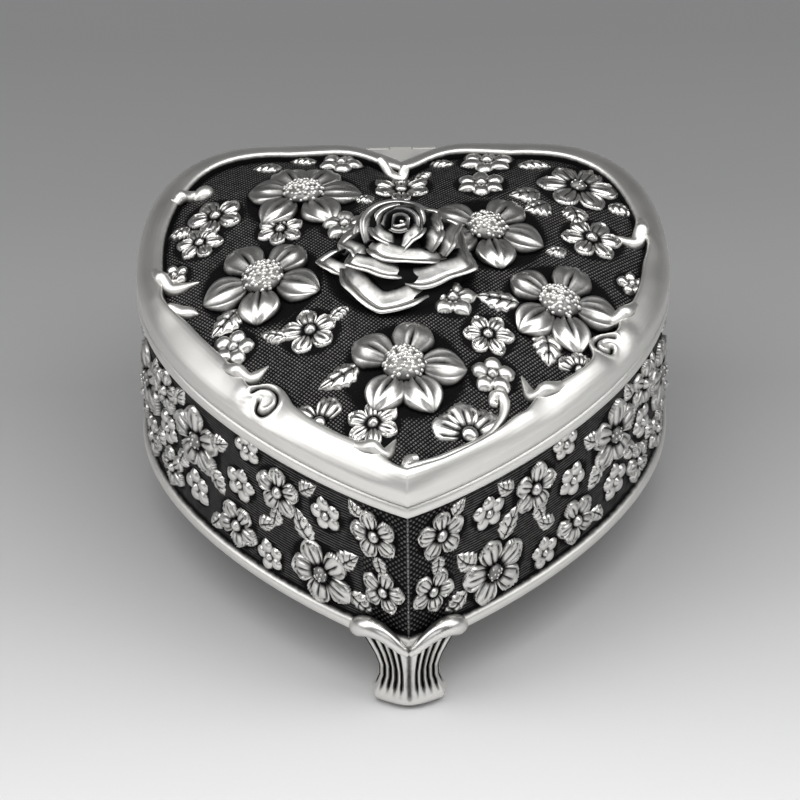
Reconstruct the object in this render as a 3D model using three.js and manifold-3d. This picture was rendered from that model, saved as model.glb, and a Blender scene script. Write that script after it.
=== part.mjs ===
// A heart-shaped metal trinket box: hinged domed lid with a rose, ribbed wall casting, three feet,
// velvet lining. Millimetres, +Z up, front tip of the heart towards -Y, hinge at the back.
import * as THREE from "three";
import { mergeVertices } from "three/addons/utils/BufferGeometryUtils.js";
import Module from "manifold-3d";

const wasm = await Module();
wasm.setup();

// ---- driving dimensions ----
const heartWidth = 90;
const heartLength = 91.9; // front tip to the back of the lobes
const cleftDepth = 5.1; // how far the notch between the lobes goes in
const footHeight = 11.6; // floor to the underside of the wall casting
const bodyHeight = 31.4; // underside of the wall casting to the parting plane
const bandHeight = 2.4; // plain bands at the top and bottom of the wall
const bandProud = 1.1; // how far the bands stand out of the wall panel
const wallThickness = 1.6;
const flangeWidth = 6.3; // inward flange at the foot of the wall
const flangeThickness = 1.6;
const basePlateThickness = 1.2;

const lidRimHeight = 2.8; // straight part of the lid's edge
const lidFrameHeight = 6.3; // parting plane to the crest of the lid's frame
const frameWidthFront = 8.5;
const frameWidthBack = 4;
const domeEdgeInset = 4.8; // where the dome would meet its base height
const domeBaseHeight = 4.3; // above the parting plane
const domeRise = 6.5;
const lidThickness = 1.7;

const roseRadius = 13.4;
const roseHeight = 8.4;
const roseOffset = -1.2; // along Y from the heart's middle

const cardThickness = 0.6;
const lidPadThickness = 1.4;
const floorPadThickness = 3;
const velvetThickness = 0.9;
const liningDrop = 1.6; // top edge of the wall lining below the parting plane
const lidLiningReach = 0.88; // share of the dome that the lid's lining covers

const footWingSpan = 10.6; // along the wall, from the foot's middle to a wing's end
const footWingRise = 5; // above the underside of the wall casting
const footDip = 1.2; // the same at the foot's middle
const footProud = 1.8; // outer face of the bracket, outside the bands
const footToeHalf = 5.6;
const footNeckHalf = 4.8;
const footPadHalf = 7;
const footPadDepth = 9.5; // from the bands' outer face inwards
const footToeDepth = 6;
const rearFootShare = 0.7; // place of a rear foot along the half outline, tip to cleft

const screwInset = 6;
const screwRadius = 1;
const screwHeadRadius = 2;
const screwHeadHeight = 0.9;
const screwBite = 5; // length of thread in the foot

const pinRadius = 0.8;
const barrelRadius = 1.7;
const barrelHalfLength = 6;
const lidKnuckleHalf = 1.8;
const hingeSetback = 1.2; // hinge axis behind the lobes
const bracketArm = 7.5; // length of hinge bracket along each side of the cleft
const bodyBracketHeight = 8;
const lidBracketHeight = 1.6;

const gap = 0.3; // between pieces that rest on or are fixed to each other
const runningGap = 0.08; // between the hinge pin and the bracket bores

// ---- levels worked out from them ----
const partingZ = footHeight + bodyHeight;
const bodyTop = partingZ - gap / 2;
const lidBottom = partingZ + gap / 2;
const flangeTop = footHeight + flangeThickness;
const basePlateBottom = flangeTop + gap;
const basePlateTop = basePlateBottom + basePlateThickness;
const screwHeadBottom = basePlateTop + gap;
const floorCardBottom = screwHeadBottom + screwHeadHeight + gap;
const floorPadBottom = floorCardBottom + cardThickness + gap;
const floorPadTop = floorPadBottom + floorPadThickness;
const panelInset = bandProud;
const innerInset = panelInset + wallThickness;
const wallCardInset = innerInset + gap;
const velvetInset = wallCardInset + cardThickness + gap;
const floorInset = velvetInset + velvetThickness + gap;

// ---- the heart outline ----
const tipY = -0.555 * heartLength;
const lobeY = tipY + heartLength;
const cleftY = lobeY - cleftDepth;
const widestY = tipY + 0.634 * heartLength;
const halfWidth = heartWidth / 2;
const lobeX = 0.493 * halfWidth;
const tipAngle = THREE.MathUtils.degToRad(24.7);
const cleftAngle = THREE.MathUtils.degToRad(39);

function polar(length, angle) {
  return new THREE.Vector2(length * Math.cos(angle), length * Math.sin(angle));
}

// The right half of the outline, from the tip round to the cleft.
function halfHeart() {
  const tip = new THREE.Vector2(0, tipY);
  const side = new THREE.Vector2(halfWidth, widestY);
  const lobe = new THREE.Vector2(lobeX, lobeY);
  const cleft = new THREE.Vector2(0, cleftY);
  const sideReach = 0.3 * heartLength;
  const lobeReach = 0.25 * halfWidth;
  const path = new THREE.CurvePath();
  path.add(
    new THREE.CubicBezierCurve(
      tip,
      polar(0.3 * halfWidth, tipAngle).add(tip),
      new THREE.Vector2(halfWidth, widestY - sideReach),
      side,
    ),
  );
  path.add(
    new THREE.CubicBezierCurve(
      side,
      new THREE.Vector2(halfWidth, widestY + sideReach),
      new THREE.Vector2(lobeX + lobeReach, lobeY),
      lobe,
    ),
  );
  path.add(
    new THREE.CubicBezierCurve(
      lobe,
      new THREE.Vector2(lobeX - lobeReach, lobeY),
      polar(0.24 * halfWidth, cleftAngle).add(cleft),
      cleft,
    ),
  );
  return path;
}
const outline = halfHeart();
const halfLength = outline.getLength();

// A point of the outline moved inwards by inset. along runs from -1 (cleft) over 0 (tip) to 1 (cleft).
function wallPoint(along, inset) {
  const t = Math.min(1, Math.abs(along));
  const point = outline.getPoint(t);
  const tangent = outline.getTangent(t);
  const outward = new THREE.Vector2(tangent.y, -tangent.x);
  const radial = point.clone().normalize();
  point.addScaledVector(radial, -inset / outward.dot(radial));
  if (along < 0) point.x = -point.x;
  return point;
}

// The rearmost point of the outline.
function rearmostY() {
  let y = lobeY;
  for (let t = 0.6; t < 1; t += 0.005) y = Math.max(y, outline.getPoint(t).y);
  return y;
}
const hingeY = rearmostY() + hingeSetback;
const hingeZ = partingZ;

// ---- solids ----
function solidOf(geometry) {
  const bare = geometry.clone();
  bare.deleteAttribute("normal");
  bare.deleteAttribute("uv");
  const merged = mergeVertices(bare, 1e-4);
  return new wasm.Manifold(
    new wasm.Mesh({
      numProp: 3,
      vertProperties: new Float32Array(merged.attributes.position.array),
      triVerts: new Uint32Array(merged.index.array),
    }),
  );
}

function geometryOf(solid) {
  const { vertProperties, triVerts } = solid.getMesh();
  const geometry = new THREE.BufferGeometry();
  geometry.setAttribute("position", new THREE.BufferAttribute(vertProperties, 3));
  geometry.setIndex(new THREE.BufferAttribute(triVerts, 1));
  geometry.computeVertexNormals();
  return geometry;
}

function indexed(positions, triangles) {
  const geometry = new THREE.BufferGeometry();
  geometry.setAttribute("position", new THREE.Float32BufferAttribute(positions, 3));
  geometry.setIndex(triangles);
  geometry.computeVertexNormals();
  return geometry;
}

const stepsPerSide = 28;

// A solid made by carrying a profile round the heart, as a lathe carries one round a circle. Each
// profile point has an inset from the outline, a height, and a share of the way out from the
// middle; a share of 0 is on the middle axis. The profile runs anticlockwise seen from +Y outwards:
// bottom, outside, top. It closes on itself unless it starts and ends on the axis.
function heartTurned(profile) {
  const around = 2 * stepsPerSide;
  const positions = [];
  const rings = profile.map(({ inset = 0, share = 1, z }) => {
    const first = positions.length / 3;
    const count = share === 0 ? 1 : around;
    for (let k = 0; k < count; k++) {
      const along = -1 + k / stepsPerSide;
      const depth = typeof inset === "function" ? inset(along) : inset;
      const point = wallPoint(along, depth).multiplyScalar(share);
      positions.push(point.x, point.y, z);
    }
    return { first, count };
  });
  const at = (ring, k) => ring.first + (ring.count === 1 ? 0 : k % around);
  const closes = profile[0].share !== 0;
  const triangles = [];
  for (let i = 0; i < rings.length - (closes ? 0 : 1); i++) {
    const low = rings[i];
    const high = rings[(i + 1) % rings.length];
    for (let k = 0; k < around; k++) {
      if (low.count > 1) triangles.push(at(low, k), at(low, k + 1), at(high, k));
      if (high.count > 1) triangles.push(at(low, k + 1), at(high, k + 1), at(high, k));
    }
  }
  return indexed(positions, triangles);
}

// A heart-shaped plate between two heights.
function heartPlate(inset, bottom, top) {
  return heartTurned([
    { share: 0, z: bottom },
    { inset, z: bottom },
    { inset, z: top },
    { share: 0, z: top },
  ]);
}

// A solid between sections. Each section is a ring of points, all with the same count, and the two
// end sections are closed by a strip between their first and second halves.
function lofted(sections) {
  const count = sections[0].length;
  const positions = sections.flatMap((ring) => ring.flatMap((p) => [p.x, p.y, p.z]));
  const triangles = [];
  const quad = (a, b, c, d) => triangles.push(a, b, c, a, c, d);
  for (let i = 0; i + 1 < sections.length; i++) {
    for (let k = 0; k < count; k++) {
      const next = (k + 1) % count;
      quad(
        i * count + k,
        i * count + next,
        (i + 1) * count + next,
        (i + 1) * count + k,
      );
    }
  }
  const last = (sections.length - 1) * count;
  for (let k = 0; k + 1 < count / 2; k++) {
    quad(count - 1 - k, count - 2 - k, k + 1, k);
    quad(last + k, last + k + 1, last + count - 2 - k, last + count - 1 - k);
  }
  return indexed(positions, triangles);
}

function upright(radius, bottom, top, x, y, sides = 12) {
  const geometry = new THREE.CylinderGeometry(radius, radius, top - bottom, sides);
  geometry.rotateX(Math.PI / 2);
  geometry.translate(x, y, (bottom + top) / 2);
  return geometry;
}

// A round bar along X on the hinge axis.
function onHinge(radius, from, to, sides = 24) {
  const geometry = new THREE.CylinderGeometry(radius, radius, to - from, sides);
  geometry.rotateZ(Math.PI / 2);
  geometry.translate((from + to) / 2, hingeY, hingeZ);
  return geometry;
}

// ---- lid ----
function domeHeight(share) {
  return partingZ + domeBaseHeight + domeRise * (1 - share * share);
}

// The frame is wide at the front tip and narrow behind the rose.
function frameInset(shareOfWidth) {
  const middle = (frameWidthFront + frameWidthBack) / 2;
  const swing = (frameWidthFront - frameWidthBack) / 2;
  return (along) => shareOfWidth * (middle + swing * Math.cos(Math.PI * along));
}

function lidShell() {
  const crest = lidFrameHeight - lidRimHeight;
  const frame = [0.06, 0.24, 0.5, 0.8];
  const outer = frame.map((share) => ({
    inset: frameInset(share),
    z: partingZ + lidRimHeight + crest * Math.sin(Math.acos(1 - Math.min(1, share / 0.7))),
  }));
  const dome = [0.7, 0.45, 0.2];
  const inner = [0.2, 0.45, 0.7, 1];
  const underDome = (share) => ({
    inset: domeEdgeInset,
    share,
    z: domeHeight(share) - lidThickness,
  });
  const shell = heartTurned([
    underDome(0),
    ...inner.map(underDome),
    { inset: lidThickness, z: domeHeight(1) - lidThickness - gap },
    { inset: lidThickness, z: lidBottom },
    { inset: 0, z: lidBottom },
    { inset: 0, z: partingZ + lidRimHeight },
    ...outer,
    { inset: frameInset(1), z: domeHeight(0.93) },
    ...dome.map((share) => ({ inset: domeEdgeInset, share, z: domeHeight(share) })),
    { share: 0, z: domeHeight(0) },
  ]);
  const studHole = upright(screwRadius + gap, partingZ, partingZ + 20, 0, roseOffset);
  return geometryOf(solidOf(shell).subtract(solidOf(studHole)));
}

function rosePetal(radius, height, tilt, turn, width) {
  const petal = new THREE.SphereGeometry(1, 10, 7);
  petal.scale(width, 0.16 * roseRadius, 0.62 * height);
  petal.rotateX(tilt);
  petal.translate(0, -radius, 0.5 * height);
  petal.rotateZ(turn);
  return petal;
}

// The rose is a bud on a flat round foot, inside rings of leaning petals.
function rose() {
  const rings = [
    { count: 5, radius: 0.76, height: 0.66, tilt: 0.75, width: 0.58, turn: 0.3 },
    { count: 5, radius: 0.5, height: 0.85, tilt: 0.45, width: 0.46, turn: 0.9 },
    { count: 3, radius: 0.27, height: 1.05, tilt: 0.25, width: 0.36, turn: 0.2 },
  ];
  const core = [
    [0, 0],
    [0.62, 0],
    [0.74, 0.3],
    [0.6, 0.55],
    [0.36, 0.8],
    [0.16, 0.94],
    [0, 0.96],
  ];
  const profile = core.map(([out, up]) => new THREE.Vector2(out * roseRadius, up * roseHeight));
  const bud = new THREE.LatheGeometry(profile, 20);
  bud.rotateX(Math.PI / 2);
  let solid = solidOf(bud);
  for (const ring of rings) {
    for (let k = 0; k < ring.count; k++) {
      const turn = ring.turn + (2 * Math.PI * k) / ring.count;
      const petal = rosePetal(
        ring.radius * roseRadius,
        ring.height * roseHeight,
        ring.tilt,
        turn,
        ring.width * roseRadius,
      );
      solid = solid.add(solidOf(petal));
    }
  }
  const below = new THREE.BoxGeometry(4 * roseRadius, 4 * roseRadius, roseHeight);
  below.translate(0, 0, -roseHeight / 2);
  solid = solid.subtract(solidOf(below));
  const studHole = upright(screwRadius + gap, -1, 0.42 * roseHeight, 0, 0);
  return geometryOf(solid.subtract(solidOf(studHole)));
}
const roseBottom = domeHeight(0) + gap;
const lidCeiling = domeHeight(0) - lidThickness;

// A rivet up through the lid into the rose, with its head under the lid.
function roseRivet() {
  const headTop = lidCeiling - gap;
  const head = upright(2.2 * screwRadius, headTop - cardThickness, headTop, 0, roseOffset);
  const tip = roseBottom + 0.42 * roseHeight - gap;
  const shank = upright(screwRadius, headTop - cardThickness / 2, tip, 0, roseOffset);
  return geometryOf(solidOf(head).add(solidOf(shank)));
}

// A layer that follows the underside of the dome, its top a given distance below the lid's inner
// face. A hole at its middle, when it has a radius, clears the rivet's head.
function domedLayer(below, thickness, reach) {
  const shares = [0.25, 0.5, 0.8, 1].map((share) => share * reach);
  const top = shares.map((share) => ({
    inset: domeEdgeInset,
    share,
    z: domeHeight(share) - lidThickness - below,
  }));
  const bottom = top.map((point) => ({ ...point, z: point.z - thickness }));
  const centreTop = domeHeight(0) - lidThickness - below;
  return heartTurned([
    { share: 0, z: centreTop - thickness },
    ...bottom,
    ...top.reverse(),
    { share: 0, z: centreTop },
  ]);
}

function lidLiningCard() {
  const card = solidOf(domedLayer(gap, cardThickness, lidLiningReach));
  const hole = upright(2.2 * screwRadius + gap, partingZ, partingZ + 20, 0, roseOffset);
  return geometryOf(card.subtract(solidOf(hole)));
}

function lidLiningPad() {
  return domedLayer(2 * gap + cardThickness, lidPadThickness, lidLiningReach);
}

// ---- body ----
// Wall with a plain band along its top and bottom and a flange inside its foot.
function bodyWall(screwPlaces) {
  const bottom = footHeight;
  const flangeInset = innerInset + flangeWidth;
  const wall = heartTurned([
    { inset: flangeInset, z: bottom },
    { inset: 0, z: bottom },
    { inset: 0, z: bottom + bandHeight },
    { inset: panelInset, z: bottom + bandHeight + bandProud / 2 },
    { inset: panelInset, z: bodyTop - bandHeight - bandProud / 2 },
    { inset: 0, z: bodyTop - bandHeight },
    { inset: 0, z: bodyTop },
    { inset: innerInset, z: bodyTop },
    { inset: innerInset, z: flangeTop },
    { inset: flangeInset, z: flangeTop },
  ]);
  return geometryOf(drilled(solidOf(wall), screwPlaces, footHeight - 1, flangeTop + 1));
}

function drilled(solid, places, bottom, top) {
  return places.reduce(
    (left, { x, y }) =>
      left.subtract(solidOf(upright(screwRadius + gap, bottom, top, x, y))),
    solid,
  );
}

function basePlate(screwPlaces) {
  const plate = solidOf(heartPlate(innerInset + gap, basePlateBottom, basePlateTop));
  return geometryOf(drilled(plate, screwPlaces, basePlateBottom - 1, basePlateTop + 1));
}

function wallLayer(inset, thickness, bottom, top) {
  return heartTurned([
    { inset: inset + thickness, z: bottom },
    { inset, z: bottom },
    { inset, z: top },
    { inset: inset + thickness, z: top },
  ]);
}

function wallLiningCard() {
  return wallLayer(wallCardInset, cardThickness, floorCardBottom, bodyTop - liningDrop);
}

function wallLiningVelvet() {
  return wallLayer(velvetInset, velvetThickness, floorCardBottom, bodyTop - liningDrop);
}

function floorCard() {
  return heartPlate(floorInset, floorCardBottom, floorCardBottom + cardThickness);
}

// The floor pad swells from its edge to its middle.
function floorPad() {
  const edge = floorPadTop - 0.45 * floorPadThickness;
  return heartTurned([
    { share: 0, z: floorPadBottom },
    { inset: floorInset, z: floorPadBottom },
    { inset: floorInset, z: edge },
    { inset: floorInset + 1.5, z: floorPadTop - 0.12 * floorPadThickness },
    { inset: floorInset + 4, z: floorPadTop },
    { share: 0, z: floorPadTop },
  ]);
}

// ---- feet ----
// A foot stands at one place of the outline, and its bracket follows the wall to both sides.
function footPoint(place, offset, inset, z) {
  const along = place + offset / halfLength;
  const folded = along > 1 ? along - 2 : along < -1 ? along + 2 : along;
  const point = wallPoint(folded, inset);
  return new THREE.Vector3(point.x, point.y, z);
}

// Half width of the leg at a height: toe, neck, then out to the pad under the flange.
function legSections(place) {
  const top = footHeight - gap;
  const levels = [
    { z: 0, half: footToeHalf, proud: 0.5 * footProud, depth: footToeDepth },
    { z: 0.16 * top, half: footToeHalf, proud: footProud, depth: footToeDepth },
    { z: 0.36 * top, half: footNeckHalf, proud: 0.45 * footProud, depth: 0.8 * footPadDepth },
    { z: 0.75 * top, half: footNeckHalf, proud: 0.6 * footProud, depth: footPadDepth },
    { z: top, half: footPadHalf, proud: 0.6 * footProud, depth: footPadDepth },
  ];
  const offsets = [-1, -0.66, -0.33, 0, 0.33, 0.66, 1];
  return levels.map(({ z, half, proud, depth }) => [
    ...offsets.map((share) => footPoint(place, share * half, -proud, z)),
    ...offsets.toReversed().map((share) => footPoint(place, share * half, depth, z)),
  ]);
}

// The bracket's wings rise on both sides of a dip at the middle and fall again to their ends.
function wingSections(place) {
  const shares = [-1, -0.85, -0.65, -0.45, -0.2, 0, 0.2, 0.45, 0.65, 0.85, 1];
  return shares.map((share) => {
    const away = Math.abs(share);
    const swell = Math.sin(Math.PI * Math.min(1, away / 1.3));
    const top = footHeight + footDip + (footWingRise - footDip) * swell;
    const bottom = footHeight * (0.35 + 0.85 * away * away);
    const offset = share * footWingSpan;
    return [
      footPoint(place, offset, -gap, top),
      footPoint(place, offset, -footProud, top),
      footPoint(place, offset, -footProud, bottom),
      footPoint(place, offset, -gap, bottom),
    ];
  });
}

function foot(place) {
  const hole = footPoint(place, 0, screwInset, 0);
  const bore = upright(
    screwRadius + gap,
    footHeight - gap - screwBite - gap,
    footHeight + 1,
    hole.x,
    hole.y,
  );
  const leg = solidOf(lofted(legSections(place)));
  const wings = solidOf(lofted(wingSections(place)));
  return geometryOf(leg.add(wings).subtract(solidOf(bore)));
}

// A screw down through the base plate and the flange into a foot.
function footScrew(place) {
  const at = footPoint(place, 0, screwInset, 0);
  const headTop = screwHeadBottom + screwHeadHeight;
  const head = solidOf(upright(screwHeadRadius, screwHeadBottom, headTop, at.x, at.y));
  const tip = footHeight - gap - screwBite;
  const shank = upright(screwRadius, tip, screwHeadBottom + gap, at.x, at.y);
  const slot = new THREE.BoxGeometry(2 * screwHeadRadius + 1, 0.6, screwHeadHeight);
  slot.translate(at.x, at.y, headTop);
  return geometryOf(head.add(solidOf(shank)).subtract(solidOf(slot)));
}

// ---- hinge ----
// A block that fills the cleft between two heights, as far back as the hinge axis.
function cleftBlock(bottom, top) {
  const steps = 6;
  const shape = new THREE.Shape();
  for (let k = -steps; k <= steps; k++) {
    const reach = Math.abs(k / steps) * (bracketArm / halfLength);
    const point = wallPoint(k < 0 ? reach - 1 : 1 - reach, -gap);
    if (k === -steps) shape.moveTo(point.x, hingeY);
    shape.lineTo(point.x, point.y);
    if (k === steps) shape.lineTo(point.x, hingeY);
  }
  const block = new THREE.ExtrudeGeometry(shape, { depth: top - bottom, bevelEnabled: false });
  block.translate(0, 0, bottom);
  return solidOf(block);
}
const boreRadius = (pinRadius + runningGap) / Math.cos(Math.PI / 24);

function bodyHingeBracket() {
  const inner = lidKnuckleHalf + gap;
  const top = hingeZ - gap;
  const clearance = onHinge(barrelRadius + gap, -inner, inner);
  return geometryOf(
    cleftBlock(top - bodyBracketHeight, top)
      .add(solidOf(onHinge(barrelRadius, -barrelHalfLength, -inner)))
      .add(solidOf(onHinge(barrelRadius, inner, barrelHalfLength)))
      .subtract(solidOf(clearance))
      .subtract(solidOf(onHinge(boreRadius, -barrelHalfLength - 1, barrelHalfLength + 1))),
  );
}

function lidHingeBracket() {
  const bottom = hingeZ + gap;
  const far = barrelHalfLength + 2;
  return geometryOf(
    cleftBlock(bottom, bottom + lidBracketHeight)
      .subtract(solidOf(onHinge(barrelRadius + gap, -far, -lidKnuckleHalf)))
      .subtract(solidOf(onHinge(barrelRadius + gap, lidKnuckleHalf, far)))
      .add(solidOf(onHinge(barrelRadius, -lidKnuckleHalf, lidKnuckleHalf)))
      .subtract(solidOf(onHinge(boreRadius, -far, far))),
  );
}

function hingePin() {
  return onHinge(pinRadius, -barrelHalfLength - gap, barrelHalfLength + gap);
}

// ---- materials ----
function silver(roughness) {
  return new THREE.MeshStandardMaterial({ color: 0xb8b4ac, roughness, metalness: 1 });
}

function velvet() {
  return new THREE.MeshStandardMaterial({ color: 0x1c1a1d, roughness: 0.95, metalness: 0 });
}

function card() {
  return new THREE.MeshStandardMaterial({ color: 0x8c8274, roughness: 0.9, metalness: 0 });
}

function steel() {
  return new THREE.MeshStandardMaterial({ color: 0x8f9094, roughness: 0.35, metalness: 1 });
}

// ---- assembly ----
function piece(name, geometry, material) {
  const mesh = new THREE.Mesh(geometry, material);
  mesh.name = name;
  return mesh;
}

function buildBox() {
  const feet = [
    { name: "front_foot", place: 0 },
    { name: "rear_left_foot", place: -rearFootShare },
    { name: "rear_right_foot", place: rearFootShare },
  ];
  const screwPlaces = feet.map(({ place }) => footPoint(place, 0, screwInset, 0));
  const lid = new THREE.Group();
  lid.add(piece("lid_shell", lidShell(), silver(0.35)));
  const roseMesh = piece("rose", rose(), silver(0.4));
  roseMesh.position.set(0, roseOffset, roseBottom);
  lid.add(roseMesh);
  lid.add(piece("rose_rivet", roseRivet(), steel()));
  lid.add(piece("lid_lining_card", lidLiningCard(), card()));
  lid.add(piece("lid_lining_pad", lidLiningPad(), velvet()));
  lid.add(piece("lid_hinge_bracket", lidHingeBracket(), silver(0.4)));
  const body = new THREE.Group();
  body.add(piece("body_wall", bodyWall(screwPlaces), silver(0.35)));
  body.add(piece("base_plate", basePlate(screwPlaces), silver(0.5)));
  body.add(piece("wall_lining_card", wallLiningCard(), card()));
  body.add(piece("wall_lining_velvet", wallLiningVelvet(), velvet()));
  body.add(piece("floor_card", floorCard(), card()));
  body.add(piece("floor_pad", floorPad(), velvet()));
  body.add(piece("body_hinge_bracket", bodyHingeBracket(), silver(0.4)));
  body.add(piece("hinge_pin", hingePin(), steel()));
  for (const { name, place } of feet) {
    body.add(piece(name, foot(place), silver(0.35)));
    body.add(piece(name + "_screw", footScrew(place), steel()));
  }
  const box = new THREE.Group();
  box.add(lid, body);
  return box;
}

// The origin is under the middle of the object's bounding box, on the floor.
function centred(object) {
  const bounds = new THREE.Box3().setFromObject(object);
  const middle = bounds.getCenter(new THREE.Vector3());
  object.position.set(-middle.x, -middle.y, -bounds.min.z);
  const part = new THREE.Group();
  part.add(object);
  return part;
}

export default centred(buildBox());
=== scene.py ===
"""Looks of the heart-shaped trinket box: chased antique-silver casting, rose, feet and velvet lining."""

import math
from math import pi

import bpy
import numpy as np
from mathutils import Matrix, Vector


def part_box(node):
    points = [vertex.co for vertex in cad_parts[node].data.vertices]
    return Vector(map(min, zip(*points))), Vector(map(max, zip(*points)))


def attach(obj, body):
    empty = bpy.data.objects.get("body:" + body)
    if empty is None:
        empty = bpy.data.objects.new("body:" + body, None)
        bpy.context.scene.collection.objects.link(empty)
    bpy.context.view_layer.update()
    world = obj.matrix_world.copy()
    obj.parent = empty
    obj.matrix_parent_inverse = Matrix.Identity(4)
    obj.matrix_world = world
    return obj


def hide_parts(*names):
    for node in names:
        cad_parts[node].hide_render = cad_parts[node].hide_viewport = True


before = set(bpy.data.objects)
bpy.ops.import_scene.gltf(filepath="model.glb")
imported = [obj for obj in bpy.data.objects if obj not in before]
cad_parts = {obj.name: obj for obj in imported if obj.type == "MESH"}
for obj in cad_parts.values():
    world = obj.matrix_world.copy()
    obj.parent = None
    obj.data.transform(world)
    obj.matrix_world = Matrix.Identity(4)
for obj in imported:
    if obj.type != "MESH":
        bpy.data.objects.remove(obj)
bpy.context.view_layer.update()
random = np.random.default_rng(7)

# ---- places, in millimetres ----
METRE, MM = 1000, 0.001
HALF_WIDTH = 45.0
LENGTH = 91.9
TIP_Y = -0.555 * LENGTH
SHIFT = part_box("body_wall")[0][1] * METRE - TIP_Y  # from the heart's middle to the frame's origin
PARTING = 43.0  # height at which lid and wall meet
FOOT_TOP = 11.6
PANEL = 1.2  # depth of the wall's sunk panel
DOME_EDGE = 4.8  # inset of the dome's foot
DOME_BASE = 4.3  # height of the dome's foot over the parting plane
DOME_RISE = 6.5
LID_THICKNESS = 1.7
CARD_ROOM = 1.2  # between the dome's inside and the lid's velvet
CLEFT_DEPTH = 5.1
ROSE_X, ROSE_Y = -0.6, -1.8


def bezier(points, count):
    """Points along a cubic curve."""
    t = np.linspace(0, 1, count)[:, None]
    a, b, c, d = (np.array(p, float) for p in points)
    return (1 - t) ** 3 * a + 3 * t * (1 - t) ** 2 * b + 3 * t**2 * (1 - t) * c + t**3 * d


def half_heart():
    """The right half of the outline, from the tip round to the cleft, with its outward normals."""
    side_y = TIP_Y + 0.634 * LENGTH
    lobe = (0.493 * HALF_WIDTH, TIP_Y + LENGTH)
    cleft = (0, TIP_Y + LENGTH - CLEFT_DEPTH)
    tip_angle, cleft_angle = math.radians(24.7), math.radians(39)
    reach, lobe_reach = 0.3 * LENGTH, 0.25 * HALF_WIDTH
    tip_out = 0.3 * HALF_WIDTH
    cleft_out = 0.24 * HALF_WIDTH
    arcs = [
        [(0, TIP_Y), (tip_out * math.cos(tip_angle), TIP_Y + tip_out * math.sin(tip_angle)),
         (HALF_WIDTH, side_y - reach), (HALF_WIDTH, side_y)],
        [(HALF_WIDTH, side_y), (HALF_WIDTH, side_y + reach), (lobe[0] + lobe_reach, lobe[1]), lobe],
        [lobe, (lobe[0] - lobe_reach, lobe[1]),
         (cleft_out * math.cos(cleft_angle), cleft[1] + cleft_out * math.sin(cleft_angle)), cleft],
    ]
    points = np.vstack([bezier(arc, 900)[(1 if k else 0):] for k, arc in enumerate(arcs)])
    steps = np.diff(points, axis=0)
    lengths = np.linalg.norm(steps, axis=1)
    run = np.concatenate([[0], np.cumsum(lengths)])
    tangent = np.gradient(points, run, axis=0)
    tangent /= np.linalg.norm(tangent, axis=1)[:, None]
    return points, run, np.stack([tangent[:, 1], -tangent[:, 0]], 1)


OUTLINE, RUN, NORMAL = half_heart()
HALF = RUN[-1]
PLACES = np.linspace(-HALF, HALF, 600, endpoint=False)  # places all round the outline


def lap(s):
    """Places along the outline, brought into the range from -HALF to HALF."""
    return (s + HALF) % (2 * HALF) - HALF


def edge(s):
    """Points of the outline and how far a radial step goes for one millimetre of inset.
    s is the place along it in millimetres, 0 at the tip and positive to the right."""
    s = lap(np.asarray(s, float))
    side, away = np.where(s < 0, -1.0, 1.0), np.abs(s)
    x, y = np.interp(away, RUN, OUTLINE[:, 0]), np.interp(away, RUN, OUTLINE[:, 1])
    nx, ny = np.interp(away, RUN, NORMAL[:, 0]), np.interp(away, RUN, NORMAL[:, 1])
    far = np.hypot(x, y)
    return side * x, y, far / (nx * x + ny * y)


def wall(s, inset):
    """Plan points at places along the outline, drawn in by an inset."""
    x, y, stretch = edge(s)
    far = np.hypot(x, y)
    keep = (far - inset * stretch) / far
    return x * keep, y * keep


RING_S = np.linspace(-HALF, HALF, 2401)
RING_X, RING_Y, RING_STRETCH = edge(RING_S)
RING_ANGLE = np.unwrap(np.arctan2(RING_Y, RING_X))
RING_ANGLE += -pi / 2 - np.interp(0, RING_S, RING_ANGLE)
RING_FAR = np.hypot(RING_X, RING_Y)


def around(x, y):
    """Inset of plan points from the outline, their place along it, and the dome's share."""
    angle = np.arctan2(y, x)
    angle = np.where(angle > pi / 2, angle - 2 * pi, angle)
    far = np.interp(angle, RING_ANGLE, RING_FAR)
    stretch = np.interp(angle, RING_ANGLE, RING_STRETCH)
    s = np.interp(angle, RING_ANGLE, RING_S)
    r = np.hypot(x, y)
    return (far - r) / stretch, s, r / (far - DOME_EDGE * stretch)


def dome_height(share):
    """Height of the dome at a share of the way from its middle to its foot."""
    return PARTING + DOME_BASE + DOME_RISE * (1 - share**2)


def dome(x, y):
    """Height of the dome over plan points; it runs on a little under the frame."""
    return dome_height(np.minimum(around(x, y)[2], 1.12))


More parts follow.
